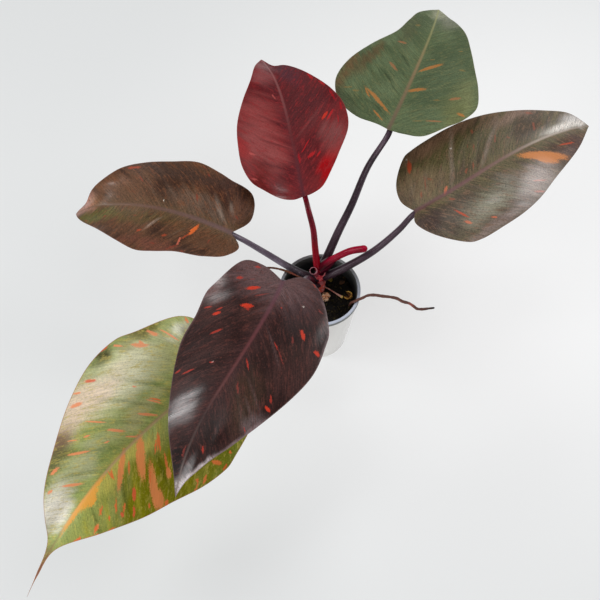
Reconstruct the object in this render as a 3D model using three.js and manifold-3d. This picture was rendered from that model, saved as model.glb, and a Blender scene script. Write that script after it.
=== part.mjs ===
// Potted philodendron with dark, orange flecked leaves.
// Millimetres, +Z up, origin at the centre of the outer pot's flat underside.
// The photographed side faces -Y.

import * as THREE from 'three';
import { mergeVertices } from 'three/addons/utils/BufferGeometryUtils.js';
import { LoftGeometry } from 'three/addons/geometries/LoftGeometry.js';
import Module from 'manifold-3d';

const wasm = await Module();
wasm.setup();

// Driving dimensions

const gap = 0.3; // left between pieces that touch
const turns = 48; // facets around the pots

const outerPot = {
  height: 118.5,
  topRadius: 49.1,
  baseRadius: 37,
  wall: 1.6,
  floor: 3,
  edge: 0.8, // bevel round the foot
  lipEdge: 0.4,
};

const growPot = {
  rimRadius: 50,
  rimTop: 120,
  rimInnerRadius: 46.4,
  rimThickness: 1.2,
  collarHeight: 6,
  collarThickness: 0.6,
  wall: 0.8,
  floorUnder: 6,
  floorOuterRadius: 35.2,
  edge: 0.6,
  drainHoles: 6,
  drainRadius: 4,
  drainCircle: 22,
};

const mix = {
  top: 98,
  edgeTop: 96.5, // sinks a little towards the wall
  flatRadius: 40,
};

const leafShape = {
  thickness: 0.9,
  fold: 8, // degrees that each half rises from the midrib
  arch: 0.003, // drop towards the margin, per mm squared
  veinSlant: 0.25, // how far side veins lean to the tip, per mm across
  stations: [0.05, 0.12, 0.24, 0.38, 0.52, 0.66, 0.8, 0.91], // of the midrib's length
  lobeStations: [0, 0.004, 0.018], // midrib ends of the veins that fan into the lobes
  columns: 4, // facets from midrib to margin
  rowsPerStation: 2,
};

// Each leaf: the point where blade and stalk meet, the blade's length, and three values each for
// the midrib's heading, its pitch and the blade's roll, at the foot, the middle and the tip, in
// degrees. A side has two lobe points, [along, across] behind the foot, and its half widths at
// the stations. A stalk has its route from the stem, and its radii at the stem and at the blade.

const leaves = [
  {
    name: 'left',
    colour: 0x5a4a3c,
    foot: [-105, 21, 214],
    length: 204,
    heading: [158, 170, 176],
    pitch: [8, -1, -48],
    roll: [-15, -30, 2],
    left: { lobe: [[-16, 13], [-5, 29]], widths: [38, 41, 44, 50, 52, 43, 29, 17] },
    right: { lobe: [[-14, 23], [-3, 52]], widths: [57, 60, 63, 56, 50, 42, 26, 15] },
    stalk: [[-2, 12, 126], [-16, 11, 134], [-40, 15, 149], [-64, 19, 170], [-92, 20, 200]],
    stalkRadii: [4.8, 2.9],
  },
  {
    name: 'top',
    colour: 0x7a1420,
    foot: [-22, 39, 265],
    length: 225,
    heading: [103, 102, 116],
    pitch: [12, -4, -23],
    roll: [-22, -17, 9],
    left: { lobe: [[-1, 12], [6, 27]], widths: [44, 59, 67, 66, 60, 46, 28, 15] },
    right: { lobe: [[0, 10], [5, 24]], widths: [37, 50, 66, 68, 60, 46, 29, 10] },
    stalk: [[-1, 14, 142], [-4, 15.5, 150], [-7, 25, 172], [-10, 33, 204], [-16, 39, 235]],
    stalkRadii: [4.5, 2.8],
  },
  {
    name: 'top_right',
    colour: 0x55623c,
    foot: [73, 115, 290],
    length: 274,
    heading: [70, 72, 78],
    pitch: [-10, -14, -26],
    roll: [-10, -1, 1],
    left: { lobe: [[5, 16], [11, 40]], widths: [64, 80, 90, 84, 65, 42, 32, 23] },
    right: { lobe: [[-5, 18], [-2, 42]], widths: [63, 75, 84, 78, 66, 54, 40, 15] },
    stalk: [[0, 17, 138], [8, 28, 152], [20, 47, 176], [35, 67, 206], [52, 93, 247]],
    stalkRadii: [5.6, 3],
  },
  {
    name: 'right',
    colour: 0x6a5848,
    foot: [108, 49, 222],
    length: 256,
    heading: [32, 33, 20],
    pitch: [2, 3, -17],
    roll: [5, 10, 18],
    left: { lobe: [[-8, 19], [1, 42]], widths: [66, 71, 71, 68, 60, 47, 32, 20] },
    right: { lobe: [[-9, 14], [0, 34]], widths: [62, 69, 70, 69, 63, 51, 37, 21] },
    stalk: [[1, 12, 129], [12, 10.5, 139], [36, 16, 153], [64, 26, 171], [91, 39, 197]],
    stalkRadii: [5.4, 3.2],
  },
  {
    name: 'front',
    colour: 0x3c2a2a,
    foot: [-43, -82, 285],
    length: 260,
    heading: [-107, -122, -103],
    pitch: [0, -15, -53],
    roll: [-8, 12, 5],
    left: { lobe: [[-11, 18], [-4, 39]], widths: [64, 70, 74, 69, 59, 44, 24, 8] },
    right: { lobe: [[-10, 26], [-7, 48]], widths: [66, 72, 71, 71, 59, 41, 20, 6] },
    stalk: [[-1, 8, 130], [-8, -12, 165], [-20, -42, 212], [-34, -73, 256]],
    stalkRadii: [4.4, 3],
  },
  {
    name: 'lower_left',
    colour: 0x7d8a46,
    foot: [-118, -142, 175],
    length: 319,
    heading: [-141, -128, -121],
    pitch: [3, -7, -42],
    roll: [-16, -22, 4],
    left: { lobe: [[-20, 36], [-7, 66]], widths: [87, 92, 89, 77, 62, 38, 8, 1.5] },
    right: { lobe: [[-22, 46], [-9, 79]], widths: [92, 98, 94, 79, 59, 39, 13, 3.5] },
    stalk: [[-3, 9, 116], [-14, -6, 128], [-34, -32, 144], [-64, -72, 160], [-94, -112, 168]],
    stalkRadii: [4.6, 3.4],
  },
];

// Last two points of every stalk, measured from the foot of its blade
const stalkEnd = { behind: 2, under: 12, dip: 2.4 };

const stem = {
  route: [[0, 12.5, 74], [0, 12.5, 100], [-1, 14, 149]],
  radii: [5.4, 6.2, 6.8, 6.2, 6.7, 6, 6.4, 5.6, 3.2], // swells at each ring where a leaf grew
};

const newLeaf = {
  route: [[1, 14.5, 146], [8, 16.5, 156], [21, 19, 168], [35, 20.5, 178], [50, 19, 186]],
  radii: [4.3, 4, 4.1, 4.3],
};

const sheath = {
  route: [[0, 14, 139], [6, 16, 151], [14, 18, 162]],
  radii: [6, 5.8, 4.9],
};

const stub = {
  route: [[-3, 12.5, 134], [-6.5, 10.5, 143], [-9, 8, 151]],
  radii: [3.8, 4.4, 4.6],
  boreRoute: [[-6.5, 10.5, 142], [-9, 8, 151], [-10.5, 6.5, 156]],
  boreRadius: 3.2,
};

const roots = {
  aerial_root_right: {
    colour: 0x5c3a30,
    route: [
      [37, -9, 92], [38, -13, 106], [39, -17, 118], [42, -18, 122.5], [46, -16.5, 124], [51, -15, 125.5],
      [58, -12, 127], [66, -11.5, 127.5], [76, -12, 126], [86, -12, 124], [94, -12.5, 121.5],
      [101, -14, 117], [110, -14, 112], [116, -16, 108], [120, -17.5, 105], [127, -17, 103],
      [134, -15.5, 102], [141, -14, 101],
    ],
    radii: [1.5, 1.7, 1.5, 1.8, 1.9, 1.9, 1.9, 1.8, 1.7, 1.3],
    steps: 40,
  },
  aerial_root_left: {
    colour: 0x6a4434,
    route: [
      [-4, 13, 119], [-16, 16, 119], [-25, 17.5, 119.5], [-38, 22, 121.5], [-48, 25, 122.5],
      [-60, 27, 123], [-72, 27, 121], [-88, 24, 115], [-102, 17, 109],
    ],
    radii: [1.8, 1.6, 1.4, 1.3, 1.3, 1.2, 0.8],
    steps: 24,
  },
  rootlet: {
    colour: 0xd09a86,
    route: [[5, 14.5, 100], [12, 10.5, 100.2], [20, 5, 100], [28, -0.5, 100.6]],
    radii: [0.8, 0.8, 0.9, 1.8],
    steps: 10,
  },
};

const barkCurl = { centre: [35, 3], bend: 5, radius: 1.2, from: -150, to: 110 };

// Chips on the mix: place, size across, height and turn in degrees
const chips = [
  { name: 'bark_chip_tan', colour: 0xc08a68, place: [7, 0], size: [11, 8], height: 3, turn: 60 },
  { name: 'bark_chip_brown', colour: 0x6b4426, place: [28, 21], size: [8, 5], height: 2.5, turn: 20 },
  { name: 'bark_chip_olive', colour: 0x6e6430, place: [13, 28], size: [7, 5], height: 2, turn: 100 },
  { name: 'bark_chip_front', colour: 0x54381f, place: [-8, -24], size: [12, 7], height: 3, turn: 10 },
  { name: 'bark_chip_left', colour: 0x5f4127, place: [-29, -4], size: [10, 7], height: 3, turn: 140 },
];

// Solids

const vector = (point) => new THREE.Vector3(...point);

// A geometry as one closed body: shared corners merged, collapsed facets left out
const closed = (geometry) => {
  const bare = new THREE.BufferGeometry();
  bare.setAttribute('position', geometry.getAttribute('position'));
  bare.setIndex(geometry.index);
  const merged = mergeVertices(bare, 1e-3);
  const kept = [];
  for (let i = 0; i < merged.index.count; i += 3) {
    const [a, b, c] = [0, 1, 2].map((k) => merged.index.getX(i + k));
    if (a !== b && b !== c && c !== a) {
      kept.push(a, b, c);
    }
  }
  merged.setIndex(kept);
  return merged;
};

const toSolid = (geometry) => {
  const { attributes, index } = closed(geometry);
  const vertProperties = new Float32Array(attributes.position.array);
  const triVerts = new Uint32Array(index.array);
  return new wasm.Manifold(new wasm.Mesh({ numProp: 3, vertProperties, triVerts }));
};

const toGeometry = (solid) => {
  const { vertProperties, triVerts } = solid.getMesh();
  const geometry = new THREE.BufferGeometry();
  geometry.setAttribute('position', new THREE.BufferAttribute(vertProperties, 3));
  geometry.setIndex(new THREE.BufferAttribute(triVerts, 1));
  return geometry;
};

// The geometry with every neighbour's room taken away: the largest body that stays
const carve = (geometry, neighbours) => {
  const cut = neighbours.reduce((solid, other) => solid.subtract(toSolid(other)), toSolid(geometry));
  const bodies = cut.decompose().sort((a, b) => b.volume() - a.volume());
  return toGeometry(bodies[0]);
};

// Value of a list spread evenly over 0 to 1
const along = (values, t) => {
  const place = THREE.MathUtils.clamp(t, 0, 1) * (values.length - 1);
  const i = Math.min(Math.floor(place), values.length - 2);
  return THREE.MathUtils.lerp(values[i], values[i + 1], place - i);
};

// Round body along a route, its radii spread over the length, grown by a clearance on all sides
const tube = (route, radii, { steps = 16, sides = 12, grow = 0, rounded = false } = {}) => {
  const curve = new THREE.CatmullRomCurve3(route.map(vector), false, 'centripetal');
  const frames = curve.computeFrenetFrames(steps, false);
  const ring = (i, advance, scale) => {
    const centre = curve.getPointAt(i / steps).addScaledVector(frames.tangents[i], advance);
    const radius = (along(radii, i / steps) + grow) * scale;
    return Array.from({ length: sides }, (_, k) => {
      const angle = (k / sides) * Math.PI * 2;
      return centre.clone()
        .addScaledVector(frames.normals[i], Math.cos(angle) * radius)
        .addScaledVector(frames.binormals[i], Math.sin(angle) * radius);
    });
  };
  const sections = Array.from({ length: steps + 1 }, (_, i) => ring(i, 0, 1));
  sections[0] = ring(0, -grow, 1);
  sections[steps] = ring(steps, rounded ? 0 : grow, 1);
  if (rounded) {
    const reach = radii.at(-1) + grow;
    [30, 60, 80].map(THREE.MathUtils.degToRad).forEach((lift) => {
      sections.push(ring(steps, Math.sin(lift) * reach, Math.cos(lift)));
    });
  }
  return new LoftGeometry(sections, { capStart: true, capEnd: true });
};

// A turned body from [radius, height] points, anticlockwise and closed on the axis or on itself
const turned = (profile, segments = turns) => {
  const points = profile.map(([radius, height]) => new THREE.Vector2(radius, height));
  return new THREE.LatheGeometry(points, segments).rotateX(Math.PI / 2);
};

// Leaf blades

const quadratic = ([a, b, c], t) => a * (1 - t) * (1 - 2 * t) + 4 * b * t * (1 - t) + c * t * (2 * t - 1);

// Smooth value of a list at a row, which may lie between two of them
const smooth = (values, row) => {
  const i = Math.min(Math.floor(row), values.length - 2);
  const t = row - i;
  const at = (k) => values[THREE.MathUtils.clamp(k, 0, values.length - 1)];
  const [a, b, c, d] = [at(i - 1), at(i), at(i + 1), at(i + 2)];
  return b + 0.5 * t * (c - a + t * (2 * a - 5 * b + 4 * c - d + t * (3 * (b - c) + d - a)));
};

// Directions along and across the blade, and out of its upper face, at a distance along the midrib
const bladeAxes = (leaf, x) => {
  const t = THREE.MathUtils.clamp(x / leaf.length, -0.05, 1);
  const [heading, pitch, roll] = [leaf.heading, leaf.pitch, leaf.roll]
    .map((values) => THREE.MathUtils.degToRad(quadratic(values, t)));
  const forward = new THREE.Vector3(
    Math.cos(heading) * Math.cos(pitch), Math.sin(heading) * Math.cos(pitch), Math.sin(pitch));
  const level = new THREE.Vector3(-Math.sin(heading), Math.cos(heading), 0);
  const up = forward.clone().cross(level);
  const across = level.clone().multiplyScalar(Math.cos(roll)).addScaledVector(up, Math.sin(roll));
  const normal = up.clone().multiplyScalar(Math.cos(roll)).addScaledVector(level, -Math.sin(roll));
  return { forward, across, normal };
};

const midribSteps = 48;

// Points of the midrib, one step apart, from a few steps behind the foot to the tip
const midribPoints = (leaf) => {
  const step = leaf.length / midribSteps;
  const behind = 8;
  const points = new Map([[0, vector(leaf.foot)]]);
  for (let i = 1; i <= midribSteps; i += 1) {
    const { forward } = bladeAxes(leaf, (i - 0.5) * step);
    points.set(i, points.get(i - 1).clone().addScaledVector(forward, step));
  }
  for (let i = -1; i >= -behind; i -= 1) {
    const { forward } = bladeAxes(leaf, (i + 0.5) * step);
    points.set(i, points.get(i + 1).clone().addScaledVector(forward, -step));
  }
  return points;
};

const midribs = new Map(leaves.map((leaf) => [leaf, midribPoints(leaf)]));

// A point of the blade's upper face, raised by lift along the face's normal
const bladePoint = (leaf, x, y, lift = 0) => {
  const place = (x / leaf.length) * midribSteps;
  const i = Math.min(Math.floor(place), midribSteps - 1);
  const points = midribs.get(leaf);
  const centre = points.get(i).clone().lerp(points.get(i + 1), place - i);
  const { across, normal } = bladeAxes(leaf, x);
  const rise = Math.abs(y) * Math.tan(THREE.MathUtils.degToRad(leafShape.fold)) - leafShape.arch * y * y;
  return centre.addScaledVector(across, y).addScaledVector(normal, rise + lift);
};

// The margin of one side, as lists of distances along and across, one value a row
const marginRows = (leaf, side) => {
  const { stations, veinSlant } = leafShape;
  const alongRows = stations.map((s, i) => leaf.length * s + veinSlant * (1 - s) * side.widths[i]);
  return {
    x: [0, side.lobe[0][0], side.lobe[1][0], ...alongRows, leaf.length],
    y: [0, side.lobe[0][1], side.lobe[1][1], ...side.widths, 0],
  };
};

const blade = (leaf, grow = 0) => {
  const { stations, lobeStations, columns, rowsPerStation, thickness } = leafShape;
  const spine = [...lobeStations, ...stations, 1].map((s) => s * leaf.length);
  const margins = { 1: marginRows(leaf, leaf.left), '-1': marginRows(leaf, leaf.right) };
  const rows = (spine.length - 1) * rowsPerStation;
  const sections = Array.from({ length: rows + 1 }, (_, i) => {
    const row = i / rowsPerStation;
    const start = smooth(spine, row);
    const point = (q, lift) => {
      const margin = margins[q < 0 ? -1 : 1];
      const share = Math.abs(q);
      const x = THREE.MathUtils.lerp(start, smooth(margin.x, row), share);
      return bladePoint(leaf, x, smooth(margin.y, row) * q, lift);
    };
    const shares = Array.from({ length: 2 * columns + 1 }, (__, k) => 1 - k / columns);
    const top = shares.map((q) => point(q, grow));
    const underside = shares.map((q) => point(-q, -thickness - grow));
    return [...top, ...underside];
  });
  return new LoftGeometry(sections);
};

// Stalk from the stem to the blade, running in under the foot of the midrib
const stalk = (leaf, grow = 0) => {
  const { behind, under, dip } = stalkEnd;
  const clear = leafShape.thickness + gap + leaf.stalkRadii[1];
  const route = [
    ...leaf.stalk,
    bladePoint(leaf, -behind, 0, -clear - dip).toArray(),
    bladePoint(leaf, under, 0, -clear).toArray(),
  ];
  return tube(route, leaf.stalkRadii, { steps: 22, sides: 12, grow });
};

const stemBody = (grow = 0) => tube(stem.route, stem.radii, { sides: 16, grow });

const rootBody = ({ route, radii, steps }, grow = 0) => (
  tube(route, radii, { steps, sides: 8, grow, rounded: true })
);

// Pots and mix

const slope = (low, high, height) => THREE.MathUtils.mapLinear(height, low[1], high[1], low[0], high[0]);

const outerPotBody = () => {
  const { height, topRadius, baseRadius, wall, floor, edge, lipEdge } = outerPot;
  const inside = topRadius - wall;
  const foot = slope([baseRadius, 0], [topRadius, height], floor) - wall;
  return turned([
    [0, 0], [baseRadius - edge, 0], [baseRadius, edge], [topRadius, height - lipEdge],
    [topRadius - lipEdge, height], [inside + lipEdge, height], [inside, height - lipEdge],
    [foot, floor], [0, floor],
  ]);
};

const growPotInside = (height) => {
  const { rimInnerRadius, rimTop, floorOuterRadius, floorUnder, wall } = growPot;
  return slope([floorOuterRadius - wall, floorUnder], [rimInnerRadius, rimTop], height);
};

const growPotBody = () => {
  const { rimRadius, rimTop, rimInnerRadius, rimThickness, collarHeight, collarThickness } = growPot;
  const { wall, floorUnder, floorOuterRadius, edge, drainHoles, drainRadius, drainCircle } = growPot;
  const flange = rimTop - rimThickness;
  const floorTop = floorUnder + rimThickness;
  const body = turned([
    [0, floorUnder], [floorOuterRadius, floorUnder], [rimInnerRadius + wall, flange],
    [rimRadius - collarThickness, flange], [rimRadius - collarThickness, rimTop - collarHeight],
    [rimRadius, rimTop - collarHeight], [rimRadius, rimTop - edge], [rimRadius - edge, rimTop],
    [rimInnerRadius + edge, rimTop], [rimInnerRadius, rimTop - edge],
    [growPotInside(floorTop), floorTop], [0, floorTop],
  ]);
  const holes = Array.from({ length: drainHoles }, (_, i) => {
    const angle = (i / drainHoles) * Math.PI * 2;
    return new THREE.CylinderGeometry(drainRadius, drainRadius, floorTop, 16)
      .rotateX(Math.PI / 2)
      .translate(Math.cos(angle) * drainCircle, Math.sin(angle) * drainCircle, floorUnder);
  });
  return carve(body, holes);
};

const mixBody = () => {
  const bottom = growPot.floorUnder + growPot.rimThickness + gap;
  const body = turned([
    [0, bottom], [growPotInside(bottom) - gap, bottom], [growPotInside(mix.edgeTop) - gap, mix.edgeTop],
    [mix.flatRadius, mix.top], [0, mix.top],
  ]);
  return carve(body, [stemBody(gap), rootBody(roots.aerial_root_right, gap)]);
};

// Crown of the plant: pieces in the order in which they give way to each other

const crown = () => {
  const bore = tube(stub.boreRoute, [stub.boreRadius, stub.boreRadius], { steps: 4, sides: 16 });
  const pieces = [
    { name: 'stem', colour: 0xb0323c, make: stemBody },
    {
      name: 'cut_stalk_stub',
      colour: 0xc06068,
      make: (grow) => tube(stub.route, stub.radii, { steps: 8, sides: 16, grow }),
      keepOff: [bore],
    },
    {
      name: 'new_leaf_roll',
      colour: 0x9a1428,
      make: (grow) => tube(newLeaf.route, newLeaf.radii, { steps: 16, grow, rounded: true }),
    },
    ...[1, 0, 3, 2, 4, 5].map((i) => ({
      name: `leaf_stalk_${leaves[i].name}`,
      colour: i === 1 ? 0x96142a : 0x4a3840,
      make: (grow) => stalk(leaves[i], grow),
      keepOff: [blade(leaves[i], gap)],
    })),
    {
      name: 'new_leaf_sheath',
      colour: 0x8a1c30,
      make: (grow) => tube(sheath.route, sheath.radii, { steps: 8, sides: 16, grow }),
    },
    ...Object.entries(roots).map(([name, root]) => ({
      name,
      colour: root.colour,
      make: (grow) => rootBody(root, grow),
    })),
  ];
  return pieces.map(({ name, colour, make, keepOff = [] }, i) => {
    const room = pieces.slice(0, i).map((earlier) => earlier.make(gap));
    return { name, colour, geometry: carve(make(0), [...room, ...keepOff]) };
  });
};

// Small pieces that lie on the mix

const chipBody = ({ place, size, height, turn }) => {
  const corners = [[-0.5, -0.2], [-0.2, -0.5], [0.35, -0.42], [0.5, 0.05], [0.28, 0.5], [-0.3, 0.42]];
  const outline = new THREE.Shape(corners.map(([x, y]) => new THREE.Vector2(x * size[0], y * size[1])));
  return new THREE.ExtrudeGeometry(outline, { depth: height, bevelEnabled: false })
    .rotateZ(THREE.MathUtils.degToRad(turn))
    .translate(place[0], place[1], mix.top + gap);
};

const barkCurlBody = () => {
  const { centre, bend, radius, from, to } = barkCurl;
  const route = Array.from({ length: 9 }, (_, i) => {
    const angle = THREE.MathUtils.degToRad(THREE.MathUtils.lerp(from, to, i / 8));
    return [centre[0] + Math.cos(angle) * bend, centre[1] + Math.sin(angle) * bend, mix.top + gap + radius];
  });
  return tube(route, [0.8 * radius, radius, 0.6 * radius], { steps: 14, sides: 8 });
};

// The model

const group = new THREE.Group();

const add = (name, geometry, colour, roughness) => {
  const material = new THREE.MeshStandardMaterial({ color: colour, roughness, metalness: 0 });
  const mesh = new THREE.Mesh(geometry, material);
  mesh.name = name;
  group.add(mesh);
};

add('outer_pot', outerPotBody(), 0xf2efe9, 0.25);
add('grow_pot', growPotBody(), 0x4a5058, 0.5);
add('potting_mix', mixBody(), 0x1d1712, 0.95);
crown().forEach(({ name, colour, geometry }) => add(name, geometry, colour, 0.4));
leaves.forEach((leaf) => add(`leaf_blade_${leaf.name}`, blade(leaf), leaf.colour, 0.35));
chips.forEach((chip) => add(chip.name, chipBody(chip), chip.colour, 0.9));
add('bark_curl', carve(barkCurlBody(), [rootBody(roots.rootlet, gap)]), 0xb07a28, 0.7);

export default group;
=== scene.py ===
import math

import bmesh
import bpy
import numpy as np
from mathutils import Matrix, Vector, noise


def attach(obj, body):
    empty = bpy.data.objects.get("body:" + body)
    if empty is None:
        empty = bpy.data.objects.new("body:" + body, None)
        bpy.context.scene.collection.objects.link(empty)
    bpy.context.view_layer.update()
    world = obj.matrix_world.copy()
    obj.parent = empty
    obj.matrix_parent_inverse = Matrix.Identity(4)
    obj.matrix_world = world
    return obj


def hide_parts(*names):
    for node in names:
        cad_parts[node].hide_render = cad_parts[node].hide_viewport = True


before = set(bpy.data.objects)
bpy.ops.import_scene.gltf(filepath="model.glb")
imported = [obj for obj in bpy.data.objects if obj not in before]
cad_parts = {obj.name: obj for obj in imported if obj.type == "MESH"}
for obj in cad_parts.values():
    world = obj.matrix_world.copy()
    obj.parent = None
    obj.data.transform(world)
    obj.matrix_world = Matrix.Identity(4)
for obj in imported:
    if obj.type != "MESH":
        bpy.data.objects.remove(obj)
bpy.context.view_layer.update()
scene = bpy.context.scene
mm = 0.001  # lengths below are in millimetres, as in the CAD source
fullTurn = 2 * math.pi
noise.seed_set(5)  # without it the leaves' patches would wander differently each time


# Materials: a socket on which sums add Math nodes
class Wire:
    def __init__(self, finish, socket):
        self.finish = finish
        self.socket = socket

    def sum(self, operation, *others):
        return self.finish.maths(operation, self, *others)

    def __abs__(self):
        return self.sum("ABSOLUTE")


def addOperator(symbol, operation):
    setattr(Wire, f"__{symbol}__", lambda self, other: self.finish.maths(operation, self, other))
    setattr(Wire, f"__r{symbol}__", lambda self, other: self.finish.maths(operation, other, self))


for symbol, operation in (("add", "ADD"), ("sub", "SUBTRACT"), ("mul", "MULTIPLY"), ("truediv", "DIVIDE")):
    addOperator(symbol, operation)


# A colour as a screen shows it, 0 to 255, for a shader socket
def tint(red, green, blue):
    values = [channel / 255 for channel in (red, green, blue)]
    return (*[v / 12.92 if v < 0.04045 else ((v + 0.055) / 1.055) ** 2.4 for v in values], 1)


# One material with a Principled shader, and the nodes that feed it
class Finish:
    def __init__(self, name, **constants):
        self.material = bpy.data.materials.new(name)
        self.material.use_nodes = True
        self.tree = self.material.node_tree
        self.tree.nodes.clear()
        self.shader = self.tree.nodes.new("ShaderNodeBsdfPrincipled")
        output = self.tree.nodes.new("ShaderNodeOutputMaterial")
        self.tree.links.new(self.shader.outputs[0], output.inputs[0])
        self.feed(**constants)

    def feed(self, **sockets):
        for name, value in sockets.items():
            spaced = "".join(" " + letter if letter.isupper() else letter for letter in name).title()
            self.join(self.shader.inputs[spaced.replace("Ior", "IOR")], value)

    def join(self, socket, value):
        if isinstance(value, Wire):
            self.tree.links.new(value.socket, socket)
        else:
            socket.default_value = value

    def node(self, kind, settings=(), sockets=(), output=0):
        made = self.tree.nodes.new(kind)
        for name, value in dict(settings).items():
            setattr(made, name, value)
        for name, value in dict(sockets).items():
            self.join(made.inputs[name], value)
        return Wire(self, made.outputs[output])

    def maths(self, operation, *values):
        return self.node("ShaderNodeMath", {"operation": operation}, dict(enumerate(values)))

    def mark(self, name):
        return self.node("ShaderNodeAttribute", {"attribute_name": name}, output=1)

    def place(self):
        return self.node("ShaderNodeTexCoord", output="Object")

    def split(self, vector):
        made = self.node("ShaderNodeSeparateXYZ", sockets={0: vector}).socket.node
        return [Wire(self, socket) for socket in made.outputs]

    def vector(self, x, y, z):
        return self.node("ShaderNodeCombineXYZ", sockets={0: x, 1: y, 2: z})

    def stretched(self, vector, scale):
        return self.node("ShaderNodeVectorMath", {"operation": "MULTIPLY"}, {0: vector, 1: scale})

    def noise(self, place, scale=1.0, detail=2.0, roughness=0.5):
        vector = self.vector(*place) if isinstance(place, tuple) else place
        return self.node("ShaderNodeTexNoise", sockets={
            "Vector": vector, "Scale": scale, "Detail": detail, "Roughness": roughness})

    # 0 below low, 1 above high, smooth between; low may be the greater
    def rise(self, value, low, high):
        return self.node("ShaderNodeMapRange", {"interpolation_type": "SMOOTHSTEP"}, {
            "Value": value, "From Min": low, "From Max": high})

    def ramp(self, value, stops):
        wire = self.node("ShaderNodeValToRGB", sockets={0: value})
        elements = wire.socket.node.color_ramp.elements
        elements.remove(elements[1])
        elements[0].position, elements[0].color = stops[0]
        for position, colour in stops[1:]:
            elements.new(position).color = colour
        return wire

    def mix(self, share, under, over, blend="MIX"):
        settings = {"data_type": "RGBA", "blend_type": blend}
        return self.node("ShaderNodeMix", settings, {0: share, 6: under, 7: over}, output=2)

    # A tint laid over a colour where a value rises from low to high
    def laid(self, colour, over, value, low, high, strength=1):
        return self.mix(self.rise(value, low, high) * strength, colour, tint(*over))

    # One tint, then another where a value rises from low to high
    def between(self, tints, value, low, high):
        return self.mix(self.rise(value, low, high), *[tint(*one) for one in tints])

    def shaded(self, colour, shade):
        return self.mix(1.0, colour, self.vector(shade, shade, shade), "MULTIPLY")

    def bump(self, height, distance, strength=1.0):
        sockets = {"Height": height, "Distance": distance, "Strength": strength}
        return self.node("ShaderNodeBump", sockets=sockets)

    # Least distance to any of some spots, 1 at a spot's edge: [x, y, half length, half width, turn]
    def spots(self, flat, spots):
        least = None
        for x, y, length, width, turn in spots:
            inside = self.node("ShaderNodeMapping", {"vector_type": "TEXTURE"}, {
                "Vector": flat, "Location": (x, y, 0), "Rotation": (0, 0, math.radians(turn)),
                "Scale": (length, width, 1)})
            reach = self.node("ShaderNodeVectorMath", {"operation": "LENGTH"}, {0: inside}, output="Value")
            least = least.sum("MINIMUM", reach) if least else reach
        return least


# Meshes: points, faces and marks of one piece, collected from several bodies
class Shape:
    def __init__(self):
        self.points = []
        self.faces = []
        self.slots = []
        self.marks = {}
        self.count = 0

    def add(self, points, faces, slot=0, **marks):
        points = np.asarray(points, float).reshape(-1, 3)
        self.points.append(points)
        self.faces += [[int(corner) + self.count for corner in face] for face in faces]
        self.slots += np.broadcast_to(slot, len(faces)).tolist()
        for name, values in marks.items():
            self.marks.setdefault(name, []).append(np.asarray(values, float).reshape(-1, 3))
        self.count += len(points)


# A piece's name as the CAD nodes are named, such as new_leaf_roll for newLeafRoll
def nodeOf(name):
    return "".join("_" + letter.lower() if letter.isupper() else letter for letter in name)


# Turns a shape into an object; with a slot it rides on the plant and stands for its CAD node
def makePiece(name, shape, finishes, slot=None, sharp=50):
    mesh = bpy.data.meshes.new(name)
    mesh.from_pydata((np.concatenate(shape.points) * mm).tolist(), [], shape.faces)
    for mark, values in shape.marks.items():
        layer = mesh.attributes.new(mark, "FLOAT_VECTOR", "POINT")
        layer.data.foreach_set("vector", np.concatenate(values).astype(np.float32).ravel())
    for finish in finishes:
        mesh.materials.append(finish.material)
    mesh.polygons.foreach_set("material_index", shape.slots)
    work = bmesh.new()
    work.from_mesh(mesh)
    bmesh.ops.remove_doubles(work, verts=work.verts, dist=2e-6)
    bmesh.ops.recalc_face_normals(work, faces=work.faces)
    work.to_mesh(mesh)
    work.free()
    mesh.validate()
    mesh.shade_smooth()
    mesh.set_sharp_from_angle(angle=math.radians(sharp))
    piece = bpy.data.objects.new(name, mesh)
    scene.collection.objects.link(piece)
    if slot:
        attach(piece, "root")
        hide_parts(nodeOf(name))
    return piece


def roundAngles(count):
    return np.linspace(0, fullTurn, count, endpoint=False)


# A list stretched over a number of places, with straight lines between its values
def stretch(values, count):
    return np.interp(np.linspace(0, 1, count), np.linspace(0, 1, len(values)), values)


# Points turned about the vertical
def spun(points, turn):
    cos, sin = math.cos(turn), math.sin(turn)
    return points @ np.array([[cos, sin, 0], [-sin, cos, 0], [0, 0, 1]])


def lengthOf(route):
    return float(np.linalg.norm(np.diff(np.array(route), axis=0), axis=1).sum())


# Points evenly spread along a smooth route, the way it runs at each, and two directions across it there,
# the first as near to up as it can start
def curveOf(route, steps, up=(0, 0, 1)):
    knots = np.asarray(route, float)
    knots = np.vstack([2 * knots[0] - knots[1], knots, 2 * knots[-1] - knots[-2]])
    t = np.linspace(0, 1, 40)[:, None]
    fine = []
    for a, b, c, d in zip(knots, knots[1:], knots[2:], knots[3:]):
        before, here, after = [math.sqrt(np.linalg.norm(q - p)) for p, q in ((a, b), (b, c), (c, d))]
        start = ((b - a) / before - (c - a) / (before + here) + (c - b) / here) * here
        end = ((c - b) / here - (d - b) / (here + after) + (d - c) / after) * here
        fine.append(b + t * (start + t * (3 * (c - b) - 2 * start - end + t * (2 * (b - c) + start + end))))
    fine = np.vstack([fine[0][:1], *[part[1:] for part in fine]])
    run = np.concatenate([[0], np.cumsum(np.linalg.norm(np.diff(fine, axis=0), axis=1))])
    even = np.linspace(0, run[-1], steps + 1)
    points = np.stack([np.interp(even, run, fine[:, k]) for k in range(3)], -1)
    ways = np.gradient(points, axis=0)
    ways = ways / np.linalg.norm(ways, axis=1)[:, None]
    side = np.asarray(up, float) - ways[0] * np.dot(up, ways[0])
    sides = []
    for way in ways:
        side = side - way * np.dot(side, way)
        side = side / np.linalg.norm(side)
        sides.append(side)
    return points, ways, even, np.array(sides), np.cross(ways, sides)


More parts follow.
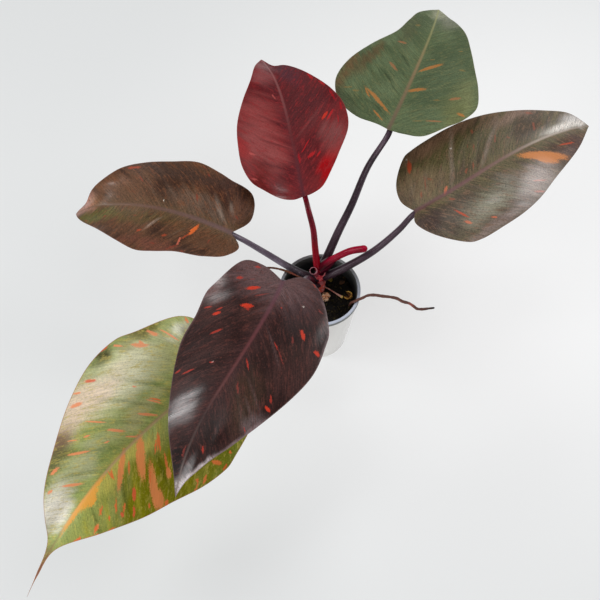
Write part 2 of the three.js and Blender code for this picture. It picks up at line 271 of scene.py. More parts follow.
# Points round a centre, at a radius or at one for each angle
def ringAt(centre, normal, binormal, radius, angles):
    return centre + np.outer(np.cos(angles) * radius, normal) + np.outer(np.sin(angles) * radius, binormal)


# Quads between the rings of a grid, closed round each ring
def ringFaces(rings, sides):
    faces = []
    for i in range(rings - 1):
        for k in range(sides):
            a = i * sides + k
            b = i * sides + (k + 1) % sides
            faces.append((a, b, b + sides, a + sides))
    return faces


# Faces of a thin shell over a grid of points: upper face, rim, and last the under face, whose points follow.
# A shell that comes to a point at its first and last row is left without a rim there
def shellFaces(rows, columns, pointed=False):
    index = np.arange(rows * columns).reshape(rows, columns)
    upper = np.stack([index[:-1, :-1], index[1:, :-1], index[1:, 1:], index[:-1, 1:]], -1).reshape(-1, 4)
    edges = [index[:, 0], index[::-1, -1]]
    if not pointed:
        edges += [index[-1], index[0, ::-1]]
    low = index.size
    rim = [(b, a, a + low, b + low) for edge in edges for a, b in zip(edge, edge[1:])]
    return [*upper, *rim, *(upper[:, ::-1] + low)]


# A tube along a route. bulge(share along, angle) scales its radius; marks hold along, around and upness
def sweep(shape, route, radii, steps, sides=24, bulge=None, endReach=0, startReach=0, slot=0, up=(0, 0, 1)):
    points, ways, run, normals, binormals = curveOf(route, steps, up)
    radii = stretch(radii, steps + 1)
    angles = roundAngles(sides)
    rings = [(points[i], radii[i], i, run[i]) for i in range(steps + 1)]
    for lift in (25, 50, 70, 84):  # rounded ends
        turn = math.radians(lift)
        if endReach:
            tip = points[-1] + ways[-1] * math.sin(turn) * endReach
            rings.append((tip, radii[-1] * math.cos(turn), steps, run[-1]))
        if startReach:
            tip = points[0] - ways[0] * math.sin(turn) * startReach
            rings.insert(0, (tip, radii[0] * math.cos(turn), 0, 0))
    body = []
    marks = []
    for centre, radius, i, along in rings:
        scale = np.array([bulge(i / steps, angle) for angle in angles]) if bulge else 1
        ring = ringAt(centre, normals[i], binormals[i], radius * scale, angles)
        upness = (ring - centre)[:, 2] / max(radius, 1e-6)
        body.append(ring)
        marks.append(np.stack([np.full(sides, along), angles * radius, upness], -1))
    ends = np.array([body[0].mean(0), body[-1].mean(0)])
    endMarks = np.array([marks[0].mean(0), marks[-1].mean(0)])
    centres = len(rings) * sides
    last = centres - sides
    faces = ringFaces(len(rings), sides)
    faces += [(centres, (k + 1) % sides, k) for k in range(sides)]
    faces += [(centres + 1, last + k, last + (k + 1) % sides) for k in range(sides)]
    shape.add(np.vstack([*body, ends]), faces, slot, runPlace=np.vstack([*marks, endMarks]))


# A body turned about the vertical, from a profile whose corners are [radius, height, rounding]
def turned(corners, segments=160, steps=6):
    profile = []
    for i, (radius, height, reach) in enumerate(corners):
        here = np.array([radius, height], float)
        if not reach:
            profile.append(here)
            continue
        before, after = [np.array(corners[k][:2], float) for k in (i - 1, i + 1)]
        start = here + (before - here) / np.linalg.norm(before - here) * reach
        end = here + (after - here) / np.linalg.norm(after - here) * reach
        for t in np.linspace(0, 1, steps):
            profile.append(start * (1 - t) ** 2 + here * 2 * t * (1 - t) + end * t * t)
    angles = roundAngles(segments)
    rings = [np.stack([r * np.cos(angles), r * np.sin(angles), np.full(segments, z)], -1) for r, z in profile]
    shape = Shape()
    shape.add(np.vstack(rings), ringFaces(len(rings), segments))
    return shape


# Camera at the photograph's viewing angle
camera = {
    "place": (-24.353, -615.650, 1248.005),
    "down": 62.0,  # degrees below level
    "roll": 0.9,
    "lens": 62.76,
    "sensor": 36,
}


def makeCamera():
    down = math.radians(camera["down"])
    roll = math.radians(camera["roll"])
    ahead = Vector((0, math.cos(down), -math.sin(down)))
    right = Vector((math.cos(roll), math.sin(down) * math.sin(roll), math.cos(down) * math.sin(roll)))
    above = Vector((-math.sin(roll), math.sin(down) * math.cos(roll), math.cos(down) * math.cos(roll)))
    data = bpy.data.cameras.new("camera")
    data.lens = camera["lens"]
    data.sensor_width = camera["sensor"]
    data.clip_start = 0.05
    data.clip_end = 60
    made = bpy.data.objects.new("camera", data)
    rows = [[right[k], above[k], -ahead[k], camera["place"][k] * mm] for k in range(3)]
    made.matrix_world = Matrix([*rows, [0, 0, 0, 1]])
    scene.collection.objects.link(made)
    scene.camera = made


# Soft light from large boxes, in metres; azimuth runs from the back towards the right, in degrees
studio = {
    "boxes": {
        "leftBox": {"azimuth": -97, "height": 38, "away": 1.6, "size": (0.6, 0.5), "power": 11},
        "rightBox": {"azimuth": 70, "height": 42, "away": 1.7, "size": (0.8, 0.6), "power": 14},
        "backBox": {"azimuth": 8, "height": 62, "away": 1.8, "size": (0.9, 0.5), "power": 7},
        "lowBox": {"azimuth": -150, "height": 14, "away": 1.8, "size": (1.3, 0.45), "power": 12},
    },
    "aim": (0, 0, 0.2),
    "surround": (0.12, 0.12, 0.125, 1),
    "floor": [(138, 139, 140), (143, 144, 144)],
    "floorGlow": 0.66,
    "floorDim": (228, 230, 230),  # dims the floor's glow away from the bright place right of the pot, a painted pool of light
    "brightPlace": (0.28, 0.15, 0),
    "brightReach": (0.10, 0.72),
    "floorCorners": [(-6, -5, 0), (6, -5, 0), (6, 7, 0), (-6, 7, 0)],
}


def makeStudio():
    for name, box in studio["boxes"].items():
        azimuth = math.radians(box["azimuth"])
        height = math.radians(box["height"])
        level = math.cos(height)
        way = Vector((math.sin(azimuth) * level, math.cos(azimuth) * level, math.sin(height)))
        data = bpy.data.lights.new(name, "AREA")
        data.shape = "RECTANGLE"
        data.size, data.size_y = box["size"]
        data.energy = box["power"]
        lamp = bpy.data.objects.new(name, data)
        facing = way.to_track_quat("Z", "Y").to_matrix().to_4x4()
        lamp.matrix_world = Matrix.Translation(Vector(studio["aim"]) + way * box["away"]) @ facing
        scene.collection.objects.link(lamp)
    world = bpy.data.worlds.new("surround")
    world.use_nodes = True
    background = world.node_tree.nodes["Background"]
    background.inputs["Color"].default_value = studio["surround"]
    background.inputs["Strength"].default_value = 1.0
    scene.world = world
    scene.view_settings.view_transform = "Standard"


def makeFloor():
    finish = Finish("paperFloor", roughness=0.75, emissionStrength=studio["floorGlow"])
    place = finish.place()
    ends = {0: place, 1: studio["brightPlace"]}
    away = finish.node("ShaderNodeVectorMath", {"operation": "DISTANCE"}, ends, "Value")
    # the glow is brightest at the bright place and dims away from it: a painted pool of light
    glow = finish.between([(255, 255, 255), studio["floorDim"]], away, *studio["brightReach"])
    grain = finish.noise(place, 900, 3)
    pale = finish.mix(finish.noise(place, 1.5, 1), *[tint(*shade) for shade in studio["floor"]])
    finish.feed(baseColor=pale, emissionColor=glow, normal=finish.bump(grain, 0.0001, 0.2))
    mesh = bpy.data.meshes.new("floor")
    mesh.from_pydata(studio["floorCorners"], [], [(0, 1, 2, 3)])
    mesh.materials.append(finish.material)
    floor = bpy.data.objects.new("floor", mesh)
    scene.collection.objects.link(floor)


# Leaf blades: what all six share
bladeShape = {
    "thickness": 0.5,
    "edgeThickness": 0.22,
    "fold": 8,  # degrees that each half rises from the midrib
    "arch": 0.003,  # drop towards the margin, per mm squared
    "slant": 0.25,
    "stations": [0.05, 0.12, 0.24, 0.38, 0.52, 0.66, 0.8, 0.91],
    "lobeStations": [0, 0.004, 0.018],
    "rowsPerStation": 14,
    "columns": 40,
    "veinSpacing": 26,
    "quilting": 0.16,
    "channel": 0.10,  # depth of the midrib's groove
}

leaves = {
    "left": {
        "foot": [-105, 21, 214],
        "length": 204,
        "heading": [158, 170, 176],
        "pitch": [8, -1, -48],
        "roll": [-15, -30, 2],
        "left": {"lobe": [[-16, 13], [-5, 29]], "widths": [38, 41, 44, 50, 52, 43, 29, 17]},
        "right": {"lobe": [[-14, 23], [-3, 52]], "widths": [57, 60, 63, 56, 50, 42, 26, 15]},
        "stalk": [[-2, 12, 126], [-16, 11, 134], [-40, 15, 149], [-64, 19, 170], [-92, 20, 200]],
        "stalkRadii": [4.8, 2.9],
        "waveLength": 23,
        "waves": [
            [13, 25, 11, -0.9], [32, 12, 12, 0.4], [122, 14, 14, -0.6], [144, 12, 12, -0.5],
            [145, 25, 12, 0.4], [166, 8, 8, 1.1], [166, 18, 8, 0.7], [167, 28, 8, 1.7], [188, 11, 7, 1.3],
            [188, 17, 7, 0.7], [16, -37, 17, -0.8], [33, -18, 18, -0.3], [102, -34, 16, -0.3],
            [104, -52, 16, -0.3], [122, -14, 14, -0.5], [125, -46, 14, -0.4], [144, -11, 11, 1.0],
            [145, -24, 11, 2.7], [146, -37, 11, 0.7], [166, -7, 7, 0.9], [166, -16, 7, 0.7],
            [167, -25, 7, 1.4], [188, -10, 7, -3.2], [188, -15, 7, -2.5],
        ],
        "gloss": 0.2,
        "roughness": 0.36,
        "contrast": 1.3,
        "shine": [
            [149, -31, 13, 8, 0, 0.8], [94, 19, 12, 3, 42, 0.8], [22, -20, 17, 4, -50, 1.0],
            [10, -27, 12, 3, -58, 0.8], [-10, -38, 8, 12, 0, 0.5], [24, 21, 12, 5, 45, 0.5],
            [170, -8, 26, 14, 0, 0.35],
        ],
        "base": [(92, 62, 42), (62, 38, 24)],
        "inner": (100, 82, 60),
        "warm": (118, 72, 46),
        "patchesAndPaintedLight": [
            [190, -8, 22, 15, 0, (188, 136, 120), 0.9], [172, -8, 16, 8, 0, (150, 110, 76), 0.6],
            [168, 12, 34, 9, 0, (92, 92, 44), 0.8], [150, -22, 30, 12, 0, (122, 84, 60), 0.6],
            [30, -45, 30, 14, 0, (66, 34, 26), 0.6], [76, -48, 56, 12, 0, (64, 46, 38), 0.8],
            [90, 44, 50, 9, 0, (108, 62, 48), 0.7], [110, 12, 50, 10, 0, (90, 74, 40), 0.6],
            [40, -18, 40, 14, 0, (112, 92, 78), 0.6], [4, -30, 12, 16, 0, (116, 80, 64), 0.6],
            [120, -10, 50, 12, 0, (104, 74, 52), 0.6],
        ],
        "veins": [
            # these two pale stroke groups are painted highlight streaks along the veins
            [(170, 146, 130), 0.6, [[104, 28, 84, 10, 3.4]]],
            [(148, 130, 116), 0.6, [[32, -32, 11, -7, 6], [14, -33, 7, -21, 4]]],
            [(112, 96, 80), 0.3, [[52, 12, 70, 30, 2.5], [44, -12, 62, -40, 2.5],
                                  [92, -10, 110, -36, 2.5]]],
        ],
        "rib": 4.8,
        "midrib": [(0, (112, 88, 90)), (0.45, (108, 80, 72)), (1, (120, 96, 72))],
        "margin": (120, 84, 70),
        "under": (104, 70, 62),
        "flecks": [
            [(222, 104, 44), 1.0, [[39, 7, 46, 20, 4.4]]],
            [(226, 216, 200), 0.9, [[84.5, -10, 85.5, -10, 1.8]]],
            [(206, 106, 82), 0.9, [[55, 27, 56, 36, 2.5]]],
            [(170, 70, 40), 0.8, [[112, 30, 106, 28, 2], [78, 30, 73, 28, 2.7], [129, -42, 116, -44, 2.6],
                                  [46, 19, 54, 29, 1.3]]],
            [(140, 56, 40), 0.65, [
                [69, 44, 56, 36, 2], [50, 41, 45, 42, 1.8], [115, -33, 111, -27, 1.7],
                [52, -27, 49, -20, 2.2], [48, -54, 45, -51, 1.5], [55, -60, 51, -59, 1.6],
                [21, 22, 20, 18, 1.5], [118, 12, 115, 12, 1.5], [91, 41, 86, 41, 1.4], [4, -20, 0, -18, 2],
                [156, 15, 153, 14, 1.5], [181, 18, 178, 18, 1.5]]],
        ],
    },
    "top": {
        "foot": [-22, 39, 265],
        "length": 225,
        "heading": [103, 102, 116],
        "pitch": [12, -4, -23],
        "roll": [-22, -17, 9],
        "left": {"lobe": [[-1, 12], [6, 27]], "widths": [44, 59, 67, 66, 60, 46, 28, 15]},
        "right": {"lobe": [[0, 10], [5, 24]], "widths": [37, 50, 66, 68, 60, 46, 29, 10]},
        "stalk": [[-1, 14, 142], [-4, 15.5, 150], [-7, 25, 172], [-10, 33, 204], [-16, 39, 235]],
        "stalkRadii": [4.5, 2.8],
        "waveLength": 25,
        "waves": [
            [11, 13, 13, 1.4], [14, 29, 13, -0.9], [18, 44, 13, 0.8], [36, 18, 18, -0.4],
            [41, 39, 18, -1.0], [45, 61, 18, -0.3], [66, 43, 20, -0.9], [70, 67, 20, -0.5],
            [86, 20, 20, 0.7], [89, 43, 20, -0.4], [93, 66, 20, -0.3], [113, 40, 19, 0.6],
            [134, 16, 16, -0.8], [136, 35, 16, 1.0], [138, 53, 16, 0.4], [158, 12, 12, 0.7],
            [159, 27, 12, 1.0], [161, 41, 12, 0.7], [183, 8, 8, 2.3], [183, 17, 8, 2.8], [184, 27, 8, 0.8],
            [208, 15, 7, 1.0], [10, -11, 11, -0.8], [13, -24, 11, -1.3], [16, -37, 11, -1.4],
            [36, -16, 16, -1.2], [40, -35, 16, -1.1], [44, -53, 16, -0.7], [70, -66, 20, -0.4],
            [158, -12, 12, 0.4], [160, -27, 12, 0.3], [183, -8, 8, 0.6], [183, -18, 8, 0.5],
            [208, -6, 7, -2.0], [208, -10, 7, -2.7],
        ],
        "gloss": 0.12,
        "roughness": 0.36,
        "contrast": 0.65,
        "shine": [[16, 27, 12, 9, 0, 1.0], [12, 32, 8, 5, 0, 0.7], [84, 36, 60, 26, 0, 0.25],
                  [60, -46, 24, 12, 20, 0.35], [200, 8, 20, 14, 0, 0.4]],
        "veins": [
            [(70, 20, 26), 0.5, [[30, 4, 62, 46, 3], [62, 4, 92, 40, 3], [94, 4, 126, 36, 3],
                                 [48, -4, 84, -44, 3], [88, -4, 120, -38, 3], [126, -4, 150, -30, 3]]],
            [(156, 84, 82), 0.35, [[44, 4, 78, 46, 3], [78, 4, 108, 40, 3], [70, -4, 104, -42, 3]]],
        ],
        "base": [(112, 34, 36), (88, 24, 28)],
        "inner": (92, 30, 36),
        "warm": (140, 42, 44),
        # (148, 72, 70) and (134, 74, 72) are painted sheen
        "patchesAndPaintedLight": [
            [84, 38, 76, 30, 0, (148, 72, 70), 0.75], [126, -26, 66, 34, 0, (86, 42, 44), 0.75],
            [24, -34, 34, 12, -35, (156, 0, 8), 1.0], [60, -46, 26, 16, 0, (134, 74, 72), 0.6],
            [30, 46, 34, 20, 0, (92, 14, 12), 0.95], [96, 60, 28, 8, 10, (150, 34, 34), 0.7],
            [185, -22, 34, 16, 0, (88, 48, 56), 0.8], [190, 10, 30, 12, 0, (150, 88, 88), 0.6],
        ],
        "midrib": [(0, (78, 34, 44)), (0.35, (98, 44, 46)), (1, (164, 110, 108))],
        "margin": (150, 60, 56),
        "under": (128, 44, 50),
        "flecks": [
            [(186, 30, 34), 0.8, [
                [53, -8, 58, -14, 1.6], [58, -13, 65, -20, 1.6], [44, -14, 48, -23, 4],
                [42, -25, 47, -30, 1.9], [83, -45, 95, -54, 2.5], [164, -39, 151, -41, 3.1],
                [145, -48, 136, -52, 2.5]]],
            [(212, 54, 34), 0.85, [[86, -40, 94, -47, 3.7]]],
            [(170, 20, 30), 0.75, [
                [127, -56, 109, -59, 2.5], [104, -64, 92, -63, 1.9], [87, -58, 77, -57, 1.4],
                [53, -4, 41, -4, 2.4]]],
            [(196, 90, 84), 0.6, [[44, 58, 39, 51, 2.4], [78, 54, 72, 47, 2], [148, 10, 140, 8, 1.6]]],
        ],
    },
    "topRight": {
        "foot": [73, 115, 290],
        "length": 274,
        "heading": [70, 72, 78],
        "pitch": [-10, -14, -26],
        "roll": [-10, -1, 1],
        "left": {"lobe": [[5, 16], [11, 40]], "widths": [64, 80, 90, 84, 65, 42, 32, 23]},
        "right": {"lobe": [[-5, 18], [-2, 42]], "widths": [63, 75, 84, 78, 66, 54, 40, 15]},
        "stalk": [[0, 17, 138], [8, 28, 152], [20, 47, 176], [35, 67, 206], [52, 93, 247]],
        "stalkRadii": [5.6, 3],
        "waveLength": 30,
        "waves": [
            [223, 9, 9, -0.5], [223, 20, 9, -0.3], [193, -15, 15, 0.5], [194, -33, 15, 0.4],
            [223, -11, 11, 1.3], [223, -24, 11, 1.1], [253, -10, 7, 0.4], [253, -15, 7, -0.5],
        ],
        "gloss": 0.22,
        "roughness": 0.36,
        "shine": [[28, 28, 16, 10, 0, 0.6], [230, -14, 30, 20, 0, 0.6], [150, 66, 30, 10, 0, 0.4]],
        "veins": [
            [(50, 60, 36), 0.8, [[62, 6, 103, 41, 2.4], [112, 6, 142, 28, 2.4], [20, 8, 44, 40, 2]]],
            [(122, 126, 88), 0.5, [[68, 4, 110, 40, 2.6], [30, -6, 66, -60, 2.6], [70, -6, 104, -54, 2.6],
                                   [106, -6, 136, -48, 2.6], [118, 4, 150, 28, 2.4]]],
        ],
        "base": [(96, 110, 78), (80, 94, 64)],
        "inner": (92, 106, 72),
        "warm": (108, 110, 72),
        "patchesAndPaintedLight": [
            [100, 80, 50, 8, 0, (112, 84, 54), 0.8], [60, -66, 70, 16, 0, (132, 134, 88), 0.7],
            [262, -4, 24, 16, 0, (168, 168, 142), 0.8], [190, 26, 40, 12, 0, (84, 86, 60), 0.6],
            [240, -20, 30, 12, 0, (136, 136, 116), 0.6], [120, 62, 36, 9, -12, (98, 74, 48), 0.7],
            [60, -60, 40, 16, 20, (92, 98, 58), 0.5], [110, -30, 80, 34, 0, (74, 88, 64), 0.5],
        ],
        "rib": 4.4,
        "midrib": [(0, (108, 84, 74)), (0.45, (150, 122, 90)), (0.7, (150, 146, 100)),
                   (1, (164, 166, 112))],
        "margin": (120, 116, 84),
        "under": (112, 112, 84),
        "flecks": [
            [(188, 118, 56), 0.8, [
                [62, 46, 28, 9, 3.9], [55, 37, 36, 19, 4.4], [61, 47, 47, 38, 2.1], [26, 26, 12, 11, 2.1],
                [113, -5, 136, -27, 4.8], [72, -2, 81, -20, 5.6], [56, -66, 57, -74, 4.5]]],
            [(168, 110, 72), 0.75, [
                [162, 34, 161, 24, 4.1], [75, -52, 85, -62, 4.2], [25, -37, 32, -54, 2.6],
                [116, 33, 103, 21, 3.8]]],
            [(150, 120, 66), 0.6, [
                [20, -23, 23, -32, 1.9], [65, -35, 68, -41, 2.4], [62, 74, 62, 65, 2.7],
                [56, 61, 56, 54, 2.8], [209, 21, 213, 17, 3.9], [140, -12, 142, -16, 2.2],
                [137, -49, 138, -56, 2.7], [173, -41, 176, -45, 2.3]]],
        ],
    },
    "right": {
        "foot": [108, 49, 222],
        "length": 256,
        "heading": [32, 33, 20],
        "pitch": [2, 3, -17],
        "roll": [5, 10, 18],
        "left": {"lobe": [[-8, 19], [1, 42]], "widths": [66, 71, 71, 68, 60, 47, 32, 20]},
        "right": {"lobe": [[-9, 14], [0, 34]], "widths": [62, 69, 70, 69, 63, 51, 37, 21]},
        "stalk": [[6, 12.5, 130], [15, 11, 140], [36, 16, 153], [64, 26, 171], [91, 39, 197]],
        "stalkRadii": [5.4, 3.2],
        "waveLength": 28,
        "waves": [
            [13, 20, 20, -0.8], [19, 43, 20, 2.3], [24, 66, 20, -1.1], [47, 46, 21, 0.6],
            [52, 71, 21, -0.8], [74, 46, 21, 1.6], [97, 20, 20, 0.3], [101, 44, 20, 2.3],
            [125, 19, 19, 0.2], [128, 41, 19, 1.9], [130, 62, 19, -0.3], [152, 16, 16, 0.3],
            [156, 54, 16, -0.6], [181, 28, 13, -1.1], [182, 43, 13, -0.6], [209, 20, 9, -1.1],
            [209, 31, 9, -0.8], [236, 6, 7, -0.7], [236, 13, 7, -0.7], [13, -19, 19, 3.2],
            [18, -40, 19, -0.9], [24, -62, 19, 1.4], [41, -21, 21, -0.5], [47, -45, 21, -1.4],
            [52, -69, 21, 1.1], [69, -21, 21, -1.9], [78, -70, 21, 1.2], [97, -21, 21, -1.1],
            [101, -45, 21, 1.3], [105, -69, 21, 0.9], [128, -42, 19, 0.7], [131, -65, 19, -0.4],
            [155, -37, 17, -0.5], [157, -57, 17, -0.9], [180, -14, 14, -0.5], [181, -31, 14, -0.9],
            [183, -47, 14, -1.1], [208, -11, 11, -0.6], [209, -23, 11, 2.0], [209, -35, 11, 1.2],
            [236, -6, 7, -0.3], [236, -21, 7, -0.3],
        ],
        "gloss": 0.24,
        "roughness": 0.36,
        "contrast": 1.35,
        "shine": [
            [22, 34, 14, 5, 50, 0.9], [84, -40, 22, 8, 0, 0.8], [46, -68, 34, 8, 0, 0.9],
            [140, -44, 44, 26, 0, 0.5], [215, 6, 44, 10, 0, 0.3], [110, -62, 50, 8, 0, 0.5],
        ],
        "veins": [
            # this whitish band along the midrib towards the tip is a painted highlight
            [(216, 208, 198), 0.95, [[192, 3.5, 250, 6, 10]]],
            [(150, 132, 118), 0.6, [[52, 0, 103, 70, 6], [96, 2, 146, 42, 6]]],
            [(122, 106, 90), 0.3, [[22, 4, 44, 44, 3], [130, 2, 168, 34, 3], [70, 2, 96, 34, 2.4],
                                    [70, -4, 104, -40, 3], [100, -6, 140, -46, 3], [36, -6, 66, -44, 3]]],
        ],
        "base": [(96, 86, 58), (74, 60, 42)],
        "inner": (100, 92, 62),
        "warm": (126, 94, 72),
        # the pale patches (146, 128, 118), (140, 120, 112), (148, 144, 124) and (212, 206, 202) are painted
        # sheen and highlight
        "patchesAndPaintedLight": [
            [60, -40, 70, 26, 0, (92, 82, 70), 0.6], [140, -40, 50, 22, 0, (146, 128, 118), 0.8],
            [60, -66, 60, 9, 0, (140, 120, 112), 0.7], [215, -20, 30, 14, 0, (84, 58, 52), 0.8],
            [6, -18, 20, 16, 0, (58, 38, 38), 0.7], [80, 36, 80, 24, 0, (90, 84, 50), 0.8],
            [100, -34, 40, 16, 0, (96, 100, 80), 0.5], [24, 26, 34, 24, 0, (132, 112, 84), 0.7],
            [90, 66, 80, 12, 0, (130, 98, 78), 0.8], [72, -40, 34, 16, 0, (148, 144, 124), 0.7],
            [180, 44, 50, 10, 0, (138, 112, 98), 0.7], [240, 10, 20, 12, 0, (212, 206, 202), 0.8],
        ],
        "rib": 4.8,
        "midrib": [(0, (96, 56, 66)), (0.3, (122, 82, 86)), (0.5, (136, 104, 98)), (0.7, (178, 162, 148)),
                   (1, (140, 124, 110))],
        "margin": (112, 92, 78),
        "under": (120, 88, 80),
        "flecks": [
            [(206, 128, 66), 1.0, [[149, -8, 201, -33, 10.7], [162, -15, 189, -33, 11.9]]],
            [(196, 74, 40), 0.85, [[201, -16, 222, -18, 2.1], [40, -24, 48, -38, 2.7],
                                   [33, 59, 22, 44, 4.8]]],
            [(190, 110, 92), 0.75, [[144, -42, 160, -48, 1.6], [137, -54, 150, -59, 2.4]]],
            [(236, 226, 216), 0.9, [[81.5, 43, 82.5, 43, 2], [31.5, 63, 32.5, 63, 2]]],
            [(212, 112, 78), 0.85, [[42, -41, 47, -47, 3.7], [71, -54, 76, -57, 2], [50, 7, 42, 0, 3.1]]],
            [(150, 76, 52), 0.65, [
                [43, -8, 48, -12, 2.7], [94, 14, 90, 8, 1.8], [83, 12, 79, 8, 2.8], [136, 29, 130, 21, 2.3],
                [107, 32, 104, 27, 1.6], [101, 36, 99, 33, 1.4], [186, 23, 182, 13, 3.1],
                [184, 38, 191, 34, 2.3], [117, 50, 114, 45, 2.5], [20, 17, 17, 12, 2.4],
                [35, 30, 27, 18, 1.4], [36, 27, 40, 23, 2.2], [147, 20, 149, 18, 1.7]]],
        ],
    },
    "front": {
        "foot": [-43, -82, 285],
        "length": 260,
        "heading": [-107, -122, -103],
        "pitch": [0, -15, -53],
        "roll": [-8, 12, 5],
        "left": {"lobe": [[-11, 18], [-4, 39]], "widths": [64, 70, 74, 69, 59, 44, 24, 8]},
        "right": {"lobe": [[-10, 26], [-7, 48]], "widths": [66, 72, 71, 71, 59, 41, 20, 6]},
        "stalk": [[-9, 10, 121], [-15, -8, 160], [-22, -42, 212], [-34, -73, 256]],
        "stalkRadii": [4.4, 3],
        "waveLength": 29,
        "waves": [
            [13, 19, 19, 0.5], [42, 21, 21, 2.6], [47, 46, 21, 1.1], [71, 22, 22, 1.0], [75, 48, 22, -0.3],
            [80, 73, 22, -0.9], [99, 21, 21, -0.2], [102, 45, 21, -0.7], [106, 69, 21, -0.8],
            [127, 19, 19, -0.6], [155, 15, 15, 0.9], [157, 34, 15, 0.4], [183, 11, 11, 0.9],
            [184, 25, 11, 3.1], [185, 38, 11, -0.5], [212, 15, 7, -2.3], [240, 8, 7, -2.1],
            [13, -20, 20, 2.6], [19, -43, 20, 1.5], [42, -22, 22, 0.8], [48, -47, 22, -0.6],
            [53, -72, 22, -0.4], [70, -21, 21, 0.3], [75, -46, 21, -0.6], [103, -46, 21, -0.5],
            [130, -41, 19, -0.6], [155, -15, 15, 0.5], [158, -50, 15, -0.5], [183, -11, 11, 0.9],
            [184, -23, 11, 0.2], [185, -35, 11, 0.5], [211, -12, 7, -1.3], [212, -19, 7, -0.5],
            [240, -6, 7, -1.0],
        ],
        "gloss": 0.14,
        "roughness": 0.38,
        "contrast": 1.3,
        "shine": [
            [176, -28, 32, 20, 0, 0.5], [166, -32, 30, 7, -35, 0.9], [181, -30, 34, 6, -35, 1.0],
            [196, -24, 26, 5, -35, 0.9], [24, -60, 10, 9, 0, 1.0], [44, -56, 20, 7, -50, 0.8],
            [239, 8, 32, 8, 0, 1.0], [24, 60, 30, 6, 0, 0.5], [138, 44, 20, 12, 0, 0.3],
        ],
        "veins": [
            # the pale strokes are painted highlight streaks; the dark strokes are vein lines
            [(112, 88, 88), 0.4, [[128, 28, 148, 58, 3], [112, 22, 134, 54, 2.4], [54, 6, 90, 46, 2.4]]],
            [(40, 22, 22), 0.5, [[30, 10, 56, 46, 5], [100, 8, 124, 40, 5], [60, -6, 92, -44, 4]]],
        ],
        "base": [(60, 36, 33), (42, 21, 19)],
        "inner": (62, 38, 38),
        "warm": (92, 50, 44),
        # (130, 104, 102), (176, 166, 162) and (112, 96, 96) are painted highlight; (20, 8, 7) and (30, 17,
        # 14) are painted shade
        "patchesAndPaintedLight": [
            [130, 34, 40, 16, 20, (60, 42, 26), 0.7], [10, 30, 30, 26, 0, (82, 56, 58), 0.5],
            [6, -14, 30, 50, 0, (112, 86, 86), 0.7], [36, -66, 22, 14, 0, (130, 104, 102), 0.7],
            [222, -8, 30, 12, 0, (20, 8, 7), 0.9], [190, 14, 40, 20, 0, (30, 17, 14), 0.7],
            [70, 45, 16, 12, 0, (48, 30, 26), 0.6], [246, 0, 14, 9, 0, (176, 166, 162), 0.8],
            [146, 56, 16, 10, 0, (112, 96, 96), 0.6],
        ],
        # edges: pale bands along the curled margins, a painted highlight
        "edges": [
            [1, 0.72, 1.0, 6, (190, 178, 178), 0.9], [1, 0.50, 0.74, 3, (150, 130, 132), 0.7],
            [1, 0.0, 0.22, 3, (150, 132, 134), 0.6], [-1, 0.05, 0.45, 2, (120, 92, 96), 0.5],
        ],
        "rib": 4.1,
        "midrib": [(0, (96, 60, 72)), (0.3, (110, 60, 62)), (0.52, (102, 62, 60)), (0.64, (58, 40, 38)),
                   (1, (120, 104, 98))],
        "margin": (112, 92, 90),
        "under": (96, 48, 56),
        "flecks": [
            [(214, 200, 190), 0.9, [[19.5, 31, 20.5, 31, 1.8], [113.5, -23, 115, -23, 1.6]]],
            [(206, 58, 34), 1.0, [
                [25, -31, 18, -19, 3.6], [45, -28, 41, -17, 4.7], [67, -52, 61, -46, 3.5],
                [44, 41, 51, 49, 3.7], [56, 63, 57, 69, 3.5], [126, 53, 128, 59, 2.9]]],
            [(176, 54, 40), 0.85, [
                [16, -46, 14, -40, 3.6], [-5, -32, -5, -27, 2], [45, -23, 46, -18, 2.7],
                [60, -51, 55, -46, 1.8], [63, -65, 59, -59, 2.1], [88, -43, 78, -34, 2.4],
                [140, -46, 130, -38, 1.9], [144, -55, 138, -52, 2], [67, 24, 72, 31, 1.2],
                [94, 7, 103, 16, 1.6], [114, 51, 120, 55, 1.8], [192, 15, 198, 18, 2.8],
                [30, 10, 31, 12, 1.3], [-8, 31, -6, 35, 1.4], [154, 46, 158, 49, 1.2],
                [116, -26, 114, -22, 1.5]]],
            [(150, 60, 52), 0.6, [
                [29, -19, 22, -10, 1.4], [13, -32, 11, -28, 1.2], [54, 37, 59, 40, 1.6],
                [73, 33, 81, 43, 1.2], [202, -4, 213, -3, 1.9], [120, 14, 129, 21, 2.1],
                [16, 46, 18, 52, 1.7]]],
        ],
    },
    "lowerLeft": {
        "foot": [-118, -142, 175],
        "length": 319,
        "heading": [-141, -128, -121],
        "pitch": [3, -7, -42],
        "roll": [-16, -22, 4],
        "left": {"lobe": [[-20, 36], [-7, 66]], "widths": [87, 92, 89, 77, 62, 37, 5, 1.0]},
        "right": {"lobe": [[-22, 46], [-9, 79]], "widths": [92, 98, 94, 79, 59, 38, 7.5, 1.2]},
        "stalk": [[-3, 9, 116], [-14, -6, 128], [-34, -32, 144], [-64, -72, 160], [-94, -112, 168]],
        "stalkRadii": [4.6, 3.4],
        "waveLength": 35,
        "waves": [
            [189, 15, 15, 0.9], [224, 9, 9, 0.5], [225, 19, 9, 0.5], [259, 7, 7, -0.7], [17, -28, 28, -0.4],
            [25, -60, 28, -1.1], [52, -29, 29, -0.8], [60, -63, 29, -2.5], [67, -97, 29, -1.4],
            [87, -28, 28, 1.2], [93, -60, 28, -1.5], [99, -92, 28, -1.4], [121, -24, 24, 2.4],
            [125, -52, 24, 1.6], [155, -20, 20, 0.4], [158, -42, 20, 0.9], [161, -65, 20, 0.6],
            [189, -15, 15, -0.8], [224, -9, 9, -2.9], [225, -21, 9, -0.8], [259, -8, 7, -2.8],
            [259, -12, 7, -2.1],
        ],
        "gloss": 0.2,
        "roughness": 0.36,
        "contrast": 0.7,
